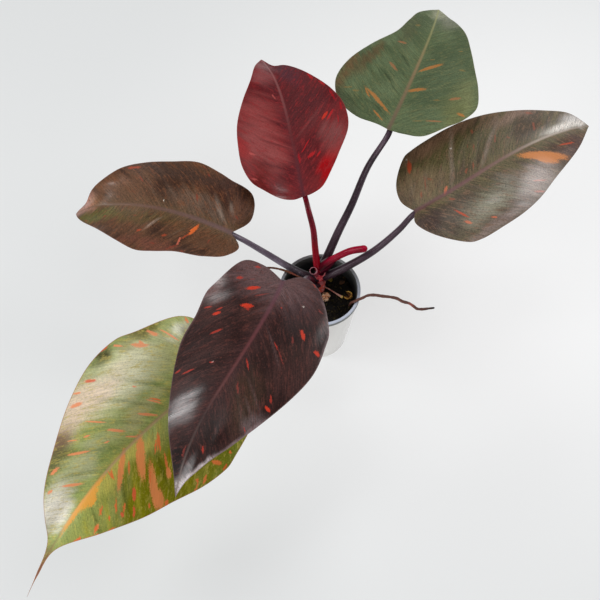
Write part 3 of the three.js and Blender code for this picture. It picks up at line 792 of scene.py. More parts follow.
        "shine": [[100, -60, 60, 34, 0, 0.5], [222, -18, 30, 12, 0, 1.0], [1, -69, 14, 9, 0, 0.8],
                  [150, -30, 50, 16, 0, 0.4]],
        "veins": [
            [(96, 112, 48), 0.5, [[40, -4, 88, -70, 5], [66, -4, 118, -66, 6], [92, -4, 146, -60, 5],
                                  [130, -4, 172, -46, 5], [160, -4, 196, -36, 5]]],
            [(176, 168, 44), 0.6, [[140, 20, 176, 66, 6], [180, 14, 214, 50, 5], [90, 40, 110, 84, 5],
                                   [210, 10, 232, 34, 4]]],
            [(62, 72, 6), 0.6, [[150, 8, 186, 56, 5], [104, 18, 128, 70, 5], [124, 26, 160, 84, 4],
                                [196, 10, 222, 44, 4]]],
        ],
        # the pale base green is partly painted sheen
        "base": [(160, 168, 104), (136, 150, 82)],
        "inner": (160, 172, 100),
        "warm": (190, 172, 86),
        # the pale patches on the -y half, such as (226, 222, 184), (232, 206, 184), (234, 228, 214), (206,
        # 206, 176), (206, 204, 160), (196, 186, 136) and (180, 180, 142), are painted sheen and highlight
        "patchesAndPaintedLight": [
            [110, 58, 140, 54, 0, (124, 122, 0), 1.0], [74, -62, 66, 28, 0, (226, 222, 184), 0.9],
            [90, -38, 16, 8, 0, (206, 204, 160), 0.8], [130, -66, 60, 18, 0, (232, 206, 184), 0.8],
            [172, -60, 26, 12, 0, (112, 84, 62), 0.9], [186, -46, 24, 10, 0, (74, 66, 34), 0.7],
            [185, -24, 60, 14, 0, (180, 180, 142), 0.7], [225, -20, 34, 16, 0, (234, 228, 214), 0.9],
            [81, -95, 12, 8, 20, (70, 70, 14), 1.0], [24, -48, 30, 28, 0, (150, 150, 92), 0.7],
            [30, -88, 18, 9, 0, (104, 98, 30), 0.95], [50, -84, 16, 8, 0, (150, 144, 90), 0.6],
            [2, -66, 16, 10, 0, (206, 206, 176), 0.8], [-8, -50, 16, 20, 0, (88, 80, 44), 0.7],
            [16, 0, 44, 24, 0, (124, 116, 66), 0.7], [212, 20, 44, 14, -10, (156, 162, 84), 0.8],
            [140, 8, 50, 8, 0, (204, 192, 92), 0.7], [90, -18, 34, 9, 0, (196, 186, 136), 0.6],
            [40, 70, 30, 24, 0, (96, 104, 6), 0.7], [300, 0, 44, 14, 0, (112, 58, 46), 1.0],
        ],
        "midrib": [(0, (150, 118, 96)), (0.5, (196, 158, 120)), (0.53, (230, 160, 84)),
                   (0.72, (228, 170, 96)),
                   (0.76, (150, 150, 96)), (0.84, (130, 90, 60)), (1, (110, 60, 44))],
        "margin": (170, 116, 84),
        "under": (150, 146, 104),
        "flecks": [
            [(236, 142, 84), 1.0, [
                [108, 0, 139, 34, 9.6], [121, 30, 154, 69, 8.8], [136, 55, 151, 71, 10.9],
                [131, -1, 166, 23, 6], [109, 46, 117, 55, 5.7], [207, 28, 218, 30, 2.9]]],
            [(230, 118, 62), 0.95, [
                [101, 32, 111, 47, 2.5], [174, 26, 187, 36, 1.7], [230, 21, 241, 17, 3],
                [229, 25, 216, 36, 1.7], [190, 20, 199, 23, 1.7], [92, 11, 104, 24, 1.8],
                [125, 33, 136, 43, 2.3], [63, 75, 55, 83, 5.1], [79, 82, 88, 87, 3.5],
                [90, 79, 100, 86, 1.8], [135, 10, 145, 20, 2.1], [158, 1, 160, 12, 1.9],
                [-11, -75, -10, -67, 1.7]]],
            [(238, 88, 62), 0.9, [
                [153, 34, 164, 43, 3.7], [183, 40, 186, 44, 3.4], [169, 47, 179, 54, 2.7]]],
            [(234, 112, 60), 0.95, [
                [92, 13, 102, 26, 2.6], [98, 15, 109, 25, 1.9], [155, 3, 161, 11, 1.9],
                [173, 37, 181, 42, 2.2], [194, 20, 198, 24, 2.2], [194, 32, 198, 35, 2.1],
                [210, 27, 217, 30, 3.3], [201, 44, 208, 41, 2.2], [218, 33, 217, 36, 2.4],
                [240, 19, 231, 21, 2.4], [155, 58, 159, 61, 2.3], [137, 70, 144, 74, 4.4],
                [181, 30, 184, 34, 1.8], [92, 78, 94, 80, 2.5], [102, 85, 102, 89, 3.5],
                [80, 92, 79, 95, 2.4], [37, 78, 38, 81, 3.3], [73, -23, 66, -14, 1.9]]],
            [(234, 160, 62), 1.0, [[166, 2, 238, 1.5, 4.2], [178, 4, 206, 4.5, 7], [186, 8, 199, 9, 6]]],
            [(226, 84, 46), 0.9, [[50, 88, 57, 90, 2.8], [80, -99, 68, -97, 3.4],
                                  [108, -83, 100, -76, 3.4]]],
            [(240, 146, 98), 1.0, [
                [50, -82, 39, -71, 4.6], [42, -81, 41, -74, 2.9], [29, -85, 24, -74, 4.1],
                [18, -79, 10, -56, 2], [64, -94, 58, -87, 2.2], [93, -18, 79, -4, 3],
                [127, -29, 117, -16, 2.9], [135, -51, 124, -37, 1.6], [171, -42, 156, -29, 2.5],
                [148, -42, 143, -39, 1.7], [139, -22, 135, -20, 1.7], [119, -10, 109, 0, 1.7],
                [198, -26, 185, -12, 2.9], [195, -43, 186, -42, 3.2], [212, -34, 207, -32, 2.5],
                [161, -52, 154, -45, 1.2], [135, -74, 125, -69, 3.8], [124, -82, 119, -78, 2.1],
                [76, -23, 67, -11, 1.9], [78, -45, 76, -42, 1.9]]],
        ],
    },
}


def quadratic(values, t):
    a, b, c = values
    return a * (1 - t) * (1 - 2 * t) + 4 * b * t * (1 - t) + c * t * (2 * t - 1)


# Smooth value of a list at rows that may lie between two of its own
def smooth(values, rows):
    values = np.asarray(values, float)
    i = np.minimum(np.floor(rows).astype(int), len(values) - 2)
    t = rows - i
    a, b, c, d = [values[np.clip(i + k, 0, len(values) - 1)] for k in (-1, 0, 1, 2)]
    return b + 0.5 * t * (c - a + t * (2 * a - 5 * b + 4 * c - d + t * (3 * (b - c) + d - a)))


# Directions along and across a blade and out of its upper face, at distances along the midrib
def bladeAxes(leaf, x):
    t = np.clip(np.asarray(x, float) / leaf["length"], -0.05, 1)
    heading, pitch, roll = [np.radians(quadratic(leaf[key], t)) for key in ("heading", "pitch", "roll")]
    ahead = np.stack([np.cos(heading) * np.cos(pitch), np.sin(heading) * np.cos(pitch), np.sin(pitch)], -1)
    level = np.stack([-np.sin(heading), np.cos(heading), 0 * heading], -1)
    up = np.cross(ahead, level)
    cos, sin = np.cos(roll)[..., None], np.sin(roll)[..., None]
    return ahead, level * cos + up * sin, up * cos - level * sin


# The midrib: distances along it and its points, from a little behind the foot
def midribOf(leaf):
    behind, steps = 8, 48
    runs = np.arange(-behind, steps + 1) * leaf["length"] / steps
    strides = bladeAxes(leaf, (runs[1:] + runs[:-1]) / 2)[0] * leaf["length"] / steps
    points = np.vstack([np.zeros(3), np.cumsum(strides, axis=0)])
    return runs, points - points[behind] + leaf["foot"]


def bladePoint(leaf, x, y, lift=0.0):
    runs, points = midribOf(leaf)
    centre = np.stack([np.interp(x, runs, points[:, k]) for k in range(3)], -1)
    ahead, across, normal = bladeAxes(leaf, x)
    rise = np.abs(y) * math.tan(math.radians(bladeShape["fold"])) - bladeShape["arch"] * y * y + lift
    return centre + across * np.asarray(y)[..., None] + normal * np.asarray(rise)[..., None]


# Where a side vein through a point leaves the midrib; below 0 it fans out of the foot into a lobe
def veinOf(x, y):
    side = np.maximum(np.abs(y), 1e-3)
    lean = 0.72 + 0.5 * side / 80
    ahead = side * (x / side - lean)
    fan = -60 * (np.arctan2(side, x) - np.arctan2(1, lean))
    return np.where(x / side > lean, ahead, fan)


# Height of the blade's own relief above the plain surface: pleats, midrib groove and waves
def relief(leaf, x, y, share, vein):
    start = leaf["length"]
    grown = np.clip((np.abs(y) - 2) / 12, 0, 1) * np.clip((1.02 - share) / 0.15, 0, 1)
    taper = np.clip((start - x) / 60, 0.15, 1)
    phase = np.where(y > 0, 0, 2.1) + 0.9 * np.sin(vein / 37 + start) + 0.5 * np.sin(x / 23 + y / 31)
    uneven = 0.65 + 0.35 * np.sin(vein / 29 + 1.3 * start + np.where(y > 0, 0, 1.7))
    pleats = np.cos(fullTurn * vein / bladeShape["veinSpacing"] + phase)
    height = bladeShape["quilting"] * grown * taper * uneven * pleats
    height = height - bladeShape["channel"] * np.exp(-(y / 3.0) ** 2) * taper
    for waveX, waveY, width, lift in leaf["waves"]:
        height = height + lift * np.exp(-((x - waveX) / leaf["waveLength"]) ** 2 - ((y - waveY) / width) ** 2)
    return height


# 0 below low, 1 above high, smooth between, on arrays
def eased(value, low, high):
    t = np.clip((value - low) / (high - low), 0, 1)
    return t * t * (3 - 2 * t)


# Two wandering values at each point, about -0.5 to 0.5, at a number of swings per mm
def wander(x, y, scale, start):
    places = zip(x.ravel() * scale, y.ravel() * scale)
    return np.array([noise.noise_vector((a, b, start))[:2] for a, b in places]).reshape(*x.shape, 2)


# How far inside a spot each point is: 0 at its centre, 1 at its edge
def reachOf(x, y, spotX, spotY, length, width, turn):
    cos, sin = math.cos(math.radians(turn)), math.sin(math.radians(turn))
    along = ((x - spotX) * cos + (y - spotY) * sin) / length
    return np.hypot(along, (-(x - spotX) * sin + (y - spotY) * cos) / width)


# Strokes as measured, [start x, start y, end x, end y, width], as spots
def spotsOf(strokes):
    made = []
    for x1, y1, x2, y2, width in strokes:
        length = math.hypot(x2 - x1, y2 - y1)
        turn = math.degrees(math.atan2(y2 - y1, x2 - x1))
        made.append([(x1 + x2) / 2, (y1 + y2) / 2, length / 2 + 0.3, width / 2, turn])
    return made


# Colour and shine of the upper face before its fine grain: base, patches, pale margins and side veins. Some
# patches are painted sheen, highlight or shade, not pigment
def bladeTone(leaf, x, y, vein, toMargin, along):
    broad = wander(x, y, 0.03, leaf["length"])
    small = wander(vein, y * 0.16, 0.16, 3)
    pale, dark = [np.array(tint(*values)[:3]) for values in leaf["base"]]
    colour = dark + (pale - dark) * eased(broad[..., 0] + small[..., 1] * 0.5, -0.3, 0.3)[..., None]

    def blend(share, over):
        return colour + (np.array(tint(*over)[:3]) - colour) * share[..., None]

    # Spots with edges that waver, by some mm of the broad and of the small wander
    def wavy(spot, broadly, finely):
        moved = broadly * broad + finely * small
        return reachOf(x + moved[..., 0], y + moved[..., 1], *spot)

    colour = blend(eased(-np.abs(y), -16, -2) * 0.6, leaf["inner"])
    # patches: leaf pigment, and on some leaves painted sheen, painted highlights and painted shade
    for *spot, patchTintAndPaintedLight, strength in leaf["patchesAndPaintedLight"]:
        reach = wavy(spot, 8, 6) + small[..., 0] * 0.3
        colour = blend(eased(-reach, -1.35, -0.35) * strength, patchTintAndPaintedLight)
    # pale bands along the margins: painted highlight
    for half, start, stop, wide, edgeHighlightTint, strength in leaf.get("edges", []):
        band = eased(-toMargin - small[..., 0] * wide * 0.3, -wide, -wide * 0.2) * (y * half > 0)
        band = band * eased(along, start, start + 0.06) * eased(-along, -stop - 0.04, -stop)
        colour = blend(band * strength, edgeHighlightTint)
    # vein strokes: vein lines, and on some leaves painted highlight streaks
    for veinAndHighlightTint, strength, strokes in leaf["veins"]:
        for spot in spotsOf(strokes):
            colour = blend(eased(-wavy(spot, 2, 0), -1.5, -0.1) * strength, veinAndHighlightTint)
    shine = 0 * x
    for *spot, strength in leaf["shine"]:
        shine = np.maximum(shine, eased(-wavy(spot, 0, 2), -1.5, -0.1) * strength)
    return colour, shine


# A blade as a thin closed shell, with a rib under its midrib
def bladeBody(leaf):
    stations = bladeShape["stations"]
    length = leaf["length"]
    spine = [s * length for s in [*bladeShape["lobeStations"], *stations, 1]]
    rows = np.linspace(0, len(spine) - 1, (len(spine) - 1) * bladeShape["rowsPerStation"] + 1)
    even = np.linspace(-1, 1, 2 * bladeShape["columns"] + 1)
    shares = even * (0.35 + 0.65 * np.abs(even))  # closer together near the midrib
    start = smooth(spine, rows)[:, None]
    margins = {}
    for half in ("left", "right"):
        lobe, widths = leaf[half]["lobe"], leaf[half]["widths"]
        places = [s * length + bladeShape["slant"] * (1 - s) * w for s, w in zip(stations, widths)]
        outline = [(0, 0), *lobe, *zip(places, widths), (length, 0)]
        margins[half] = [smooth(values, rows)[:, None] for values in zip(*outline)]
    marginX, marginY = [np.where(shares >= 0, a, b) for a, b in zip(margins["left"], margins["right"])]
    share = np.abs(shares) + 0 * start
    x = start + (marginX - start) * share
    y = marginY * shares
    toMargin = (1 - share) * marginY
    vein = veinOf(x, y)
    height = relief(leaf, x, y, share, vein)
    thick = bladeShape["thickness"] + (bladeShape["edgeThickness"] - bladeShape["thickness"]) * share ** 5
    rib = 1.5 * np.exp(-(y / 2.0) ** 2) * np.clip((x - 5) / 14, 0, 1) * np.clip(1 - x / length, 0.05, 1)
    veinRib = 0.16 * np.clip(np.cos(fullTurn * vein / bladeShape["veinSpacing"]), 0.6, 1) * (1 - share)
    top = bladePoint(leaf, x, y, height)
    under = bladePoint(leaf, x, y, height - thick - rib - veinRib)
    colour, shine = bladeTone(leaf, x, y, vein, toMargin, x / length)
    marks = {
        "leafPlace": np.stack([x, y, vein], -1),
        "leafEdge": np.stack([share, toMargin, x / length], -1),
        "leafTintAndPaintedLight": colour,
        "leafShine": np.stack([shine] * 3, -1),
    }
    shape = Shape()
    faces = shellFaces(*x.shape, pointed=True)
    onUnder = (x.shape[0] - 1) * (x.shape[1] - 1)
    slots = [0] * (len(faces) - onUnder) + [1] * onUnder
    shape.add([top, under], faces, slots, **{name: [values] * 2 for name, values in marks.items()})
    return shape


def bladeFinish(name, leaf):
    finish = Finish("upperFace_" + name, specularIorLevel=leaf["gloss"], coatRoughness=0.25, coatIor=1.75)
    x, y, vein = finish.split(finish.mark("leafPlace"))
    share, toMargin, along = finish.split(finish.mark("leafEdge"))
    side = abs(y)
    half = y.sum("SIGN")
    veinGrain = finish.vector(vein * 0.55, side * 0.035, half * 5)
    fine = finish.noise(veinGrain, 1.6, 4, 0.65)
    hair = finish.noise((vein * 1.6, side * 0.09, half * 3), 1.5, 2)
    coarse = finish.noise(veinGrain, 0.35, 2)
    broad = finish.noise((x * 0.03, y * 0.03, leaf["length"]), 1, 3)
    speckle = finish.noise((x, y, 3), 0.9, 3, 0.6)
    grit = finish.noise((x, y, 5), 0.42, 4, 0.75)
    mottle = finish.noise((vein * 0.22, side * 0.12, half * 8), 1.3, 4, 0.7)
    # mottling, dark and light specks, fine lines along the veins, and the side veins themselves
    # the marked tint carries the painted sheen, highlights and shade laid in bladeTone
    colour = finish.laid(finish.mark("leafTintAndPaintedLight"), leaf["warm"], mottle, 0.50, 0.66, 0.6)
    colour = finish.laid(colour, leaf["warm"], grit, 0.58, 0.70, 0.45)
    specks = finish.rise(speckle, 0.54, 0.66)
    shade = 1.3 * (fine - 0.5) + 1.0 * (hair - 0.5) + 1.2 * (grit - 0.5) - specks * 0.28
    shade = 1 + leaf.get("contrast", 1) * shade
    lines = abs(((vein + coarse * 9) / bladeShape["veinSpacing"]).sum("FRACT") - 0.5)
    sideVein = finish.rise(lines, 0.055, 0.0) * finish.rise(share, 0.97, 0.45) * finish.rise(side, 1, 6)
    colour = finish.shaded(colour, (shade + sideVein * (coarse - 0.3) * 0.6).sum("MAXIMUM", 0.3))
    # flecks with torn edges
    ragged = finish.noise(veinGrain, 2.2, 4, 0.75) - 0.5
    loose = finish.noise((x, y, 6), 0.55, 3) - 0.5
    torn = finish.vector(x + ragged * 6 + loose * 2.4, y + ragged * half * 6 - loose * 2.4, 0)
    worn = (hair - 0.5) * 1.1 + (speckle - 0.5) * 0.9
    for fleckTint, strength, flecks in leaf["flecks"]:
        reach = finish.spots(torn, spotsOf(flecks)) + worn
        colour = finish.laid(colour, fleckTint, reach, 1.22, 0.86, (0.62 + 0.5 * fine) * strength)
    rib = finish.ramp(along, [(position, tint(*ribTint)) for position, ribTint in leaf["midrib"]])
    ribWidth = leaf.get("rib", 3.8) * (1 - 0.63 * along)
    ribMask = finish.rise(side + (hair - 0.5) * 1.6, ribWidth, ribWidth * 0.1)
    colour = finish.mix(ribMask * (0.45 + 0.5 * hair), colour, rib)
    colour = finish.laid(colour, leaf["margin"], toMargin, 1.1, 0.2, 0.7)
    shine = finish.split(finish.mark("leafShine"))[0]
    relieved = fine * 0.8 + hair * 0.25 + speckle * 0.15 + grit * 0.2 - sideVein * 0.3
    finish.feed(
        baseColor=colour,
        roughness=leaf["roughness"] + 0.10 * fine + 0.05 * broad - 0.20 * shine,
        coatWeight=0.02 * mottle + shine * (0.12 + 0.8 * finish.rise(fine + hair * 0.5, 0.42, 1.08)),
        normal=finish.bump(relieved, 0.0006, 0.42),
    )
    return finish


def underFinish(name, leaf):
    finish = Finish("underFace_" + name, specularIorLevel=0.4)
    x, y, vein = finish.split(finish.mark("leafPlace"))
    share, toMargin, along = finish.split(finish.mark("leafEdge"))
    side = abs(y)
    grain = finish.noise((vein * 0.5, side * 0.03, y.sum("SIGN") * 4), 1.5, 4, 0.6)
    broad = finish.noise((x * 0.03, y * 0.03, 9), 1, 3)
    red, green, blue = leaf["under"]
    colour = finish.mix(broad, tint(red * 0.82, green * 0.82, blue * 0.82), tint(red, green, blue))
    lines = abs((vein / bladeShape["veinSpacing"]).sum("FRACT") - 0.5)
    veins = finish.rise(lines, 0.06, 0.0) * finish.rise(share, 1.0, 0.6)
    raised = veins.sum("MAXIMUM", finish.rise(side, 3.0, 1.2))
    colour = finish.mix(raised * 0.6, colour, tint(red * 1.2 + 16, green * 1.1 + 6, blue * 1.1 + 6))
    colour = finish.shaded(colour, 0.84 + 0.3 * grain)
    colour = finish.laid(colour, leaf["margin"], toMargin, 1.2, 0.2, 0.6)
    height = grain * 0.6 + raised * 0.6
    finish.feed(baseColor=colour, roughness=0.5 + 0.14 * grain, normal=finish.bump(height, 0.0003, 0.5))
    return finish


def makeBlades():
    for name, leaf in leaves.items():
        finishes = [bladeFinish(name, leaf), underFinish(name, leaf)]
        makePiece("leafBlade_" + name, bladeBody(leaf), finishes, "blade_" + nodeOf(name))
        print("leaf blade", name)


# Leaf stalks
stalkShape = {
    "seat": [(-2, -2.4), (12, 0.4), (21, 2.2)],  # distance along the midrib, lift towards the blade
    "clear": 1.2,  # blade thickness and gap of the CAD
    "sides": 28,
    "stride": 1.3,
    "channel": 0.10,  # how far the upper face sinks, of the radius
}

# Tints: two of the skin, its streaks, its foot. The streak tint is also laid on the upper side as painted
# light, and the dark feet are painted shade near the crown
stalkLooks = {
    "plum": {"tints": [(46, 30, 40), (80, 60, 72), (126, 106, 122), (44, 24, 34)], "gloss": 0.22},
    "crimson": {"tints": [(86, 0, 16), (136, 0, 32), (200, 50, 84), (140, 0, 20)], "gloss": 0.07},
    "rosy": {"tints": [(44, 26, 36), (74, 54, 66), (110, 60, 78), (60, 6, 22)], "gloss": 0.15},
    # a lighter copy of plum for the left stalk, partly painted sheen
    "lavenderSheen": {"tints": [(92, 78, 92), (146, 132, 148), (180, 166, 182), (36, 22, 30)], "gloss": 0.3},
}

stalkKinds = {"top": "crimson", "front": "rosy", "left": "lavenderSheen"}  # the others are plum


def stalkFinish(name):
    *skin, streak, foot = stalkLooks[name]["tints"]
    finish = Finish("stalk_" + name, specularIorLevel=stalkLooks[name]["gloss"], coatRoughness=0.2)
    along, around, upness = finish.split(finish.mark("runPlace"))
    streaks = finish.noise((along * 0.02, around * 0.55, 1), 1.6, 4, 0.6)
    broad = finish.noise(finish.place(), 28, 2)
    dashes = finish.noise((along * 0.25, around * 1.3, 4), 1.2, 2)
    colour = finish.between(skin, broad + streaks * 0.6, 0.55, 1.05)
    # darker foot where the stalk meets the crown: painted shade
    colour = finish.laid(colour, foot, along + streaks * 12, 70, 44)
    # lighter on the upper side: painted light
    colour = finish.laid(colour, streak, upness, 0.2, 1.0, 0.16)
    colour = finish.laid(colour, streak, dashes, 0.60, 0.70, 0.5)
    finish.feed(
        baseColor=colour,
        roughness=0.28 + 0.12 * streaks,
        coatWeight=0.04 + 0.08 * broad,
        normal=finish.bump(streaks * 0.7 + dashes * 0.25, 0.0004, 0.45),
    )
    return finish


# Radius along a stalk: a shallow channel on top, a clasping foot, a swollen joint under the blade
def stalkBulge(share, angle):
    top = max(math.cos(angle), 0) ** 6
    joint = 0.10 * math.exp(-((share - 0.91) / 0.05) ** 2)
    foot = 0.12 * math.exp(-(share / 0.05) ** 2)
    return 1 + joint + foot - stalkShape["channel"] * top


def makeStalks():
    finishes = {kind: stalkFinish(kind) for kind in stalkLooks}
    for name, leaf in leaves.items():
        low, high = leaf["stalkRadii"]
        radii = [low + (high - low) * t for t in np.linspace(0, 0.97, 12)] + [high * 0.5]
        clear = stalkShape["clear"] + high
        route = leaf["stalk"] + [bladePoint(leaf, x, 0.0, lift - clear) for x, lift in stalkShape["seat"]]
        steps = int(lengthOf(route) / stalkShape["stride"])
        shape = Shape()
        sweep(shape, route, radii, steps, stalkShape["sides"], stalkBulge, endReach=2.0, startReach=1.5)
        kind = stalkKinds.get(name, "plum")
        slot = "stalk_crimson" if kind == "crimson" else "stalk_plum"
        makePiece("leafStalk_" + name, shape, [finishes[kind]], slot)
    print("leaf stalks")


# Crown: stem, stub of a cut stalk, rolled new leaf and its sheath
crown = {
    "stem": {
        "route": [[0, 12.5, 74], [0, 12.5, 100], [-1, 14, 149]],
        "radii": [5.4, 6.2, 6.8, 6.2, 6.7, 6, 6.4, 5.6, 3.2],
        "rings": [0.40, 0.53, 0.64, 0.76, 0.86],
    },
    # papery remains of old sheaths: height of the foot, direction, length, width in degrees, curl outwards
    "scraps": [
        [106, -120, 9, 60, 1.0], [118, -70, 12, 50, 1.0], [124, 20, 10, 70, 1.0],
        [131, -150, 11, 55, 1.1], [113, 120, 12, 60, 1.2], [138, -40, 8, 45, 1.1],
    ],
    "scrapCentre": [-0.4, 12.9, 0],
    "newLeaf": {
        "route": [[1, 14.5, 146], [8, 16.5, 156], [21, 19, 168], [35, 20.5, 178], [50, 19, 186]],
        "radii": [6.4, 5.2, 4.3, 4.0, 4.1, 4.2, 4.3],
    },
    "sheath": {
        "route": [[0, 14, 139], [6, 16, 151], [14, 18, 162]],
        "radii": [6.6, 7.2, 5.3],
        "wall": 0.5,
    },
    "stub": {
        "route": [[-3, 12.5, 134], [-6.5, 10.5, 143], [-9, 8, 151]],
        "radii": [3.8, 4.4, 4.6],
        # lip and bore: distance beyond the end, radius, depth for the colours
        "mouth": [[0.25, 4.45, 0], [0.35, 4.1, 0.2], [0.2, 4.4, 0.35], [-0.3, 4, 0.8], [-2, 3.7, 2.2],
                  [-4.5, 3.4, 4.5], [-7, 2.7, 7], [-7, 0.05, 7]],
    },
}


def stemFinish():
    finish = Finish("stemSkin", specularIorLevel=0.2, coatRoughness=0.18)
    along, around, upness = finish.split(finish.mark("runPlace"))
    streaks = finish.noise((along * 0.06, around * 0.5, 1), 1.8, 4, 0.65)
    blotch = finish.noise(finish.place(), 160, 3)
    paperAndGlint = finish.noise((along * 0.10, around * 0.22, 8), 1.7, 3, 0.6)
    # dark brown at the soil line: old stem, partly painted shade
    aboveMix = finish.rise(along, 20, 27)
    colour = finish.between([(172, 10, 42), (240, 92, 96)], blotch + streaks * 0.5, 0.5, 1.0)
    # coral towards the foot, raised brighter to make up for the shade there: partly painted light
    colour = finish.laid(colour, (255, 116, 100), along + streaks * 8, 58, 42, 0.8)
    # pale lilac papery streaks, partly painted highlight streaks
    colour = finish.laid(colour, (238, 190, 196), paperAndGlint, 0.54, 0.64, 0.75)
    finish.feed(
        baseColor=finish.mix(aboveMix, tint(62, 34, 26), colour),
        roughness=0.34 + 0.2 * streaks,
        coatWeight=0.45 * aboveMix,
        normal=finish.bump(streaks + paperAndGlint * 0.5, 0.0006, 0.4),
    )
    return finish


def spearFinish(name, skin, edge):
    finish = Finish(name, specularIorLevel=0.07, coatRoughness=0.16, coatWeight=0.12)
    along, around, upness = finish.split(finish.mark("runPlace"))
    streaks = finish.noise((along * 0.03, around * 0.6, 2), 1.6, 4, 0.6)
    broad = finish.noise(finish.place(), 60, 2)
    colour = finish.between(skin, streaks * 0.6 + broad * 0.6, 0.45, 0.8)
    # near black at the foot, deep in the crown: painted shade
    colour = finish.laid(colour, (34, 0, 8), along + streaks * 6, 25, 11, 0.9)
    # the edge tint on the upper side: painted light
    colour = finish.laid(colour, edge, upness, 0.3, 1.0, 0.2)
    finish.feed(baseColor=colour, roughness=0.25 + 0.12 * streaks, normal=finish.bump(streaks, 0.0004, 0.4))
    return finish


def makeStem():
    stem = crown["stem"]

    def ringed(share, angle):
        swell = sum(0.10 * math.exp(-((share - ring) / 0.012) ** 2) for ring in stem["rings"])
        lumps = 0.03 * math.sin(3 * angle + share * 40) + 0.02 * math.sin(5 * angle - share * 60)
        return 1 + swell + lumps

    shape = Shape()
    sweep(shape, stem["route"], stem["radii"], 120, 40, ringed, endReach=2.5, up=(0, -1, 0))
    # each scrap is a grid of 9 by 9 points, given a thickness
    t = np.linspace(0, 1, 9)[:, None]
    k = np.arange(9)
    for level, turn, tall, wide, curl in crown["scraps"]:
        angle = np.radians(turn + wide * (k / 8 - 0.5) * (1 - 0.5 * t * t))
        away = 6.75 + curl * t ** 2 + 0.25 * np.sin(k * 1.7 + level)
        outward = np.stack([np.cos(angle), np.sin(angle), 0 * angle], -1)
        grid = outward * away[..., None] + crown["scrapCentre"]
        grid[..., 2] = level + tall * t * (1 - 0.25 * (k / 4 - 1) ** 2)
        both = np.array([grid + outward * 0.12, grid - outward * 0.12])
        marks = np.stack([np.full(both.shape[:3], 60.0), both[..., 0] * 2, both[..., 2] * 0.1], -1)
        shape.add(both, shellFaces(9, 9), 1, runPlace=marks)
    scrap = Finish("paperyScrap", roughness=0.7)
    streak = scrap.noise(scrap.stretched(scrap.place(), (900, 900, 90)), 1, 3)
    colour = scrap.mix(streak, tint(186, 38, 60), tint(242, 150, 150))
    scrap.feed(baseColor=colour, normal=scrap.bump(streak, 0.0004, 0.5))
    makePiece("stem", shape, [stemFinish(), scrap], "stem")


# A ring round a dark bore
def makeStub():
    stub = crown["stub"]
    steps, sides = 26, 40
    points, ways, run, normals, binormals = curveOf(stub["route"], steps)
    radii = stretch(stub["radii"], steps + 1)
    angles = roundAngles(sides)
    rings = [(i, points[i], radii[i] * (1 + 0.02 * math.sin(i * 0.9)), 0) for i in range(steps + 1)]
    for beyond, radius, depth in stub["mouth"]:
        rings.append((steps, points[-1] + ways[-1] * beyond, radius, depth))
    body = []
    marks = []
    for i, centre, radius, depth in rings:
        body.append(ringAt(centre, normals[i], binormals[i], radius, angles))
        marks.append(np.stack([np.full(sides, i), angles * 4, np.full(sides, depth)], -1))
    foot = len(rings) * sides
    faces = ringFaces(len(rings), sides) + [(foot, (k + 1) % sides, k) for k in range(sides)]
    shape = Shape()
    shape.add(np.vstack([*body, body[0].mean(0)]), faces, runPlace=np.vstack([*marks, marks[0][:1]]))
    finish = Finish("cutStub", specularIorLevel=0.5)
    along, around, depth = finish.split(finish.mark("runPlace"))
    streaks = finish.noise((along * 0.12, around * 0.6, 3), 1.4, 4, 0.6)
    colour = finish.between([(128, 14, 40), (190, 74, 92)], streaks, 0.35, 0.7)
    colour = finish.laid(colour, (216, 150, 160), along + streaks * 4, 23, 28, 0.7)
    colour = finish.laid(colour, (206, 140, 152), depth, 0.1, 0.4)
    # darker with depth into the bore: painted shade
    colour = finish.laid(colour, (44, 8, 14), depth, 0.4, 2.0)
    finish.feed(baseColor=colour, roughness=0.38 + 0.2 * streaks, normal=finish.bump(streaks, 0.0005, 0.5))
    makePiece("cutStalkStub", shape, [finish], "stub")


# The new leaf is rolled on itself, with a seam that winds round it
def makeNewLeaf():
    def rolled(share, angle):
        seam = (angle - 1.2 - 1.5 * share) % fullTurn / fullTurn
        return 1 + (0.10 * seam - 0.05) * (0.25 + 0.75 * min(1, share * 3))

    shape = Shape()
    sweep(shape, crown["newLeaf"]["route"], crown["newLeaf"]["radii"], 90, 48, rolled, endReach=4.6)
    finish = spearFinish("newLeafSkin", [(112, 0, 26), (164, 0, 44)], (210, 40, 76))
    makePiece("newLeafRoll", shape, [finish], "new_leaf")


# The new leaf's sheath is open in front, with thin lips
def makeSheath():
    sheath = crown["sheath"]
    count = 41
    points, ways, run, normals, binormals = curveOf(sheath["route"], count - 1)
    radii = stretch(sheath["radii"], count)
    across = np.linspace(-1, 1, count)
    lip = np.abs(across) ** 8
    walls = [[], []]
    marks = []
    for i, share in enumerate(np.linspace(0, 1, count)):
        opening = 0.25 + 0.75 * share ** 1.3
        spread = across * (math.pi - opening) + math.pi + 0.5
        reach = radii[i] * (1 + 0.10 * lip * share)
        for wall, radius in zip(walls, (reach, reach - sheath["wall"])):
            wall.append(ringAt(points[i], normals[i], binormals[i], radius, spread))
        marks.append(np.stack([np.full(count, run[i]), spread * radii[i], lip], -1))
    shape = Shape()
    shape.add(walls, shellFaces(count, count), runPlace=[marks, marks])
    # a darker copy of the new leaf's skin, partly painted shade in the V under the top stalk
    finish = spearFinish("sheathSkin", [(52, 0, 12), (84, 2, 24)], (170, 60, 92))
    makePiece("newLeafSheath", shape, [finish], "sheath")


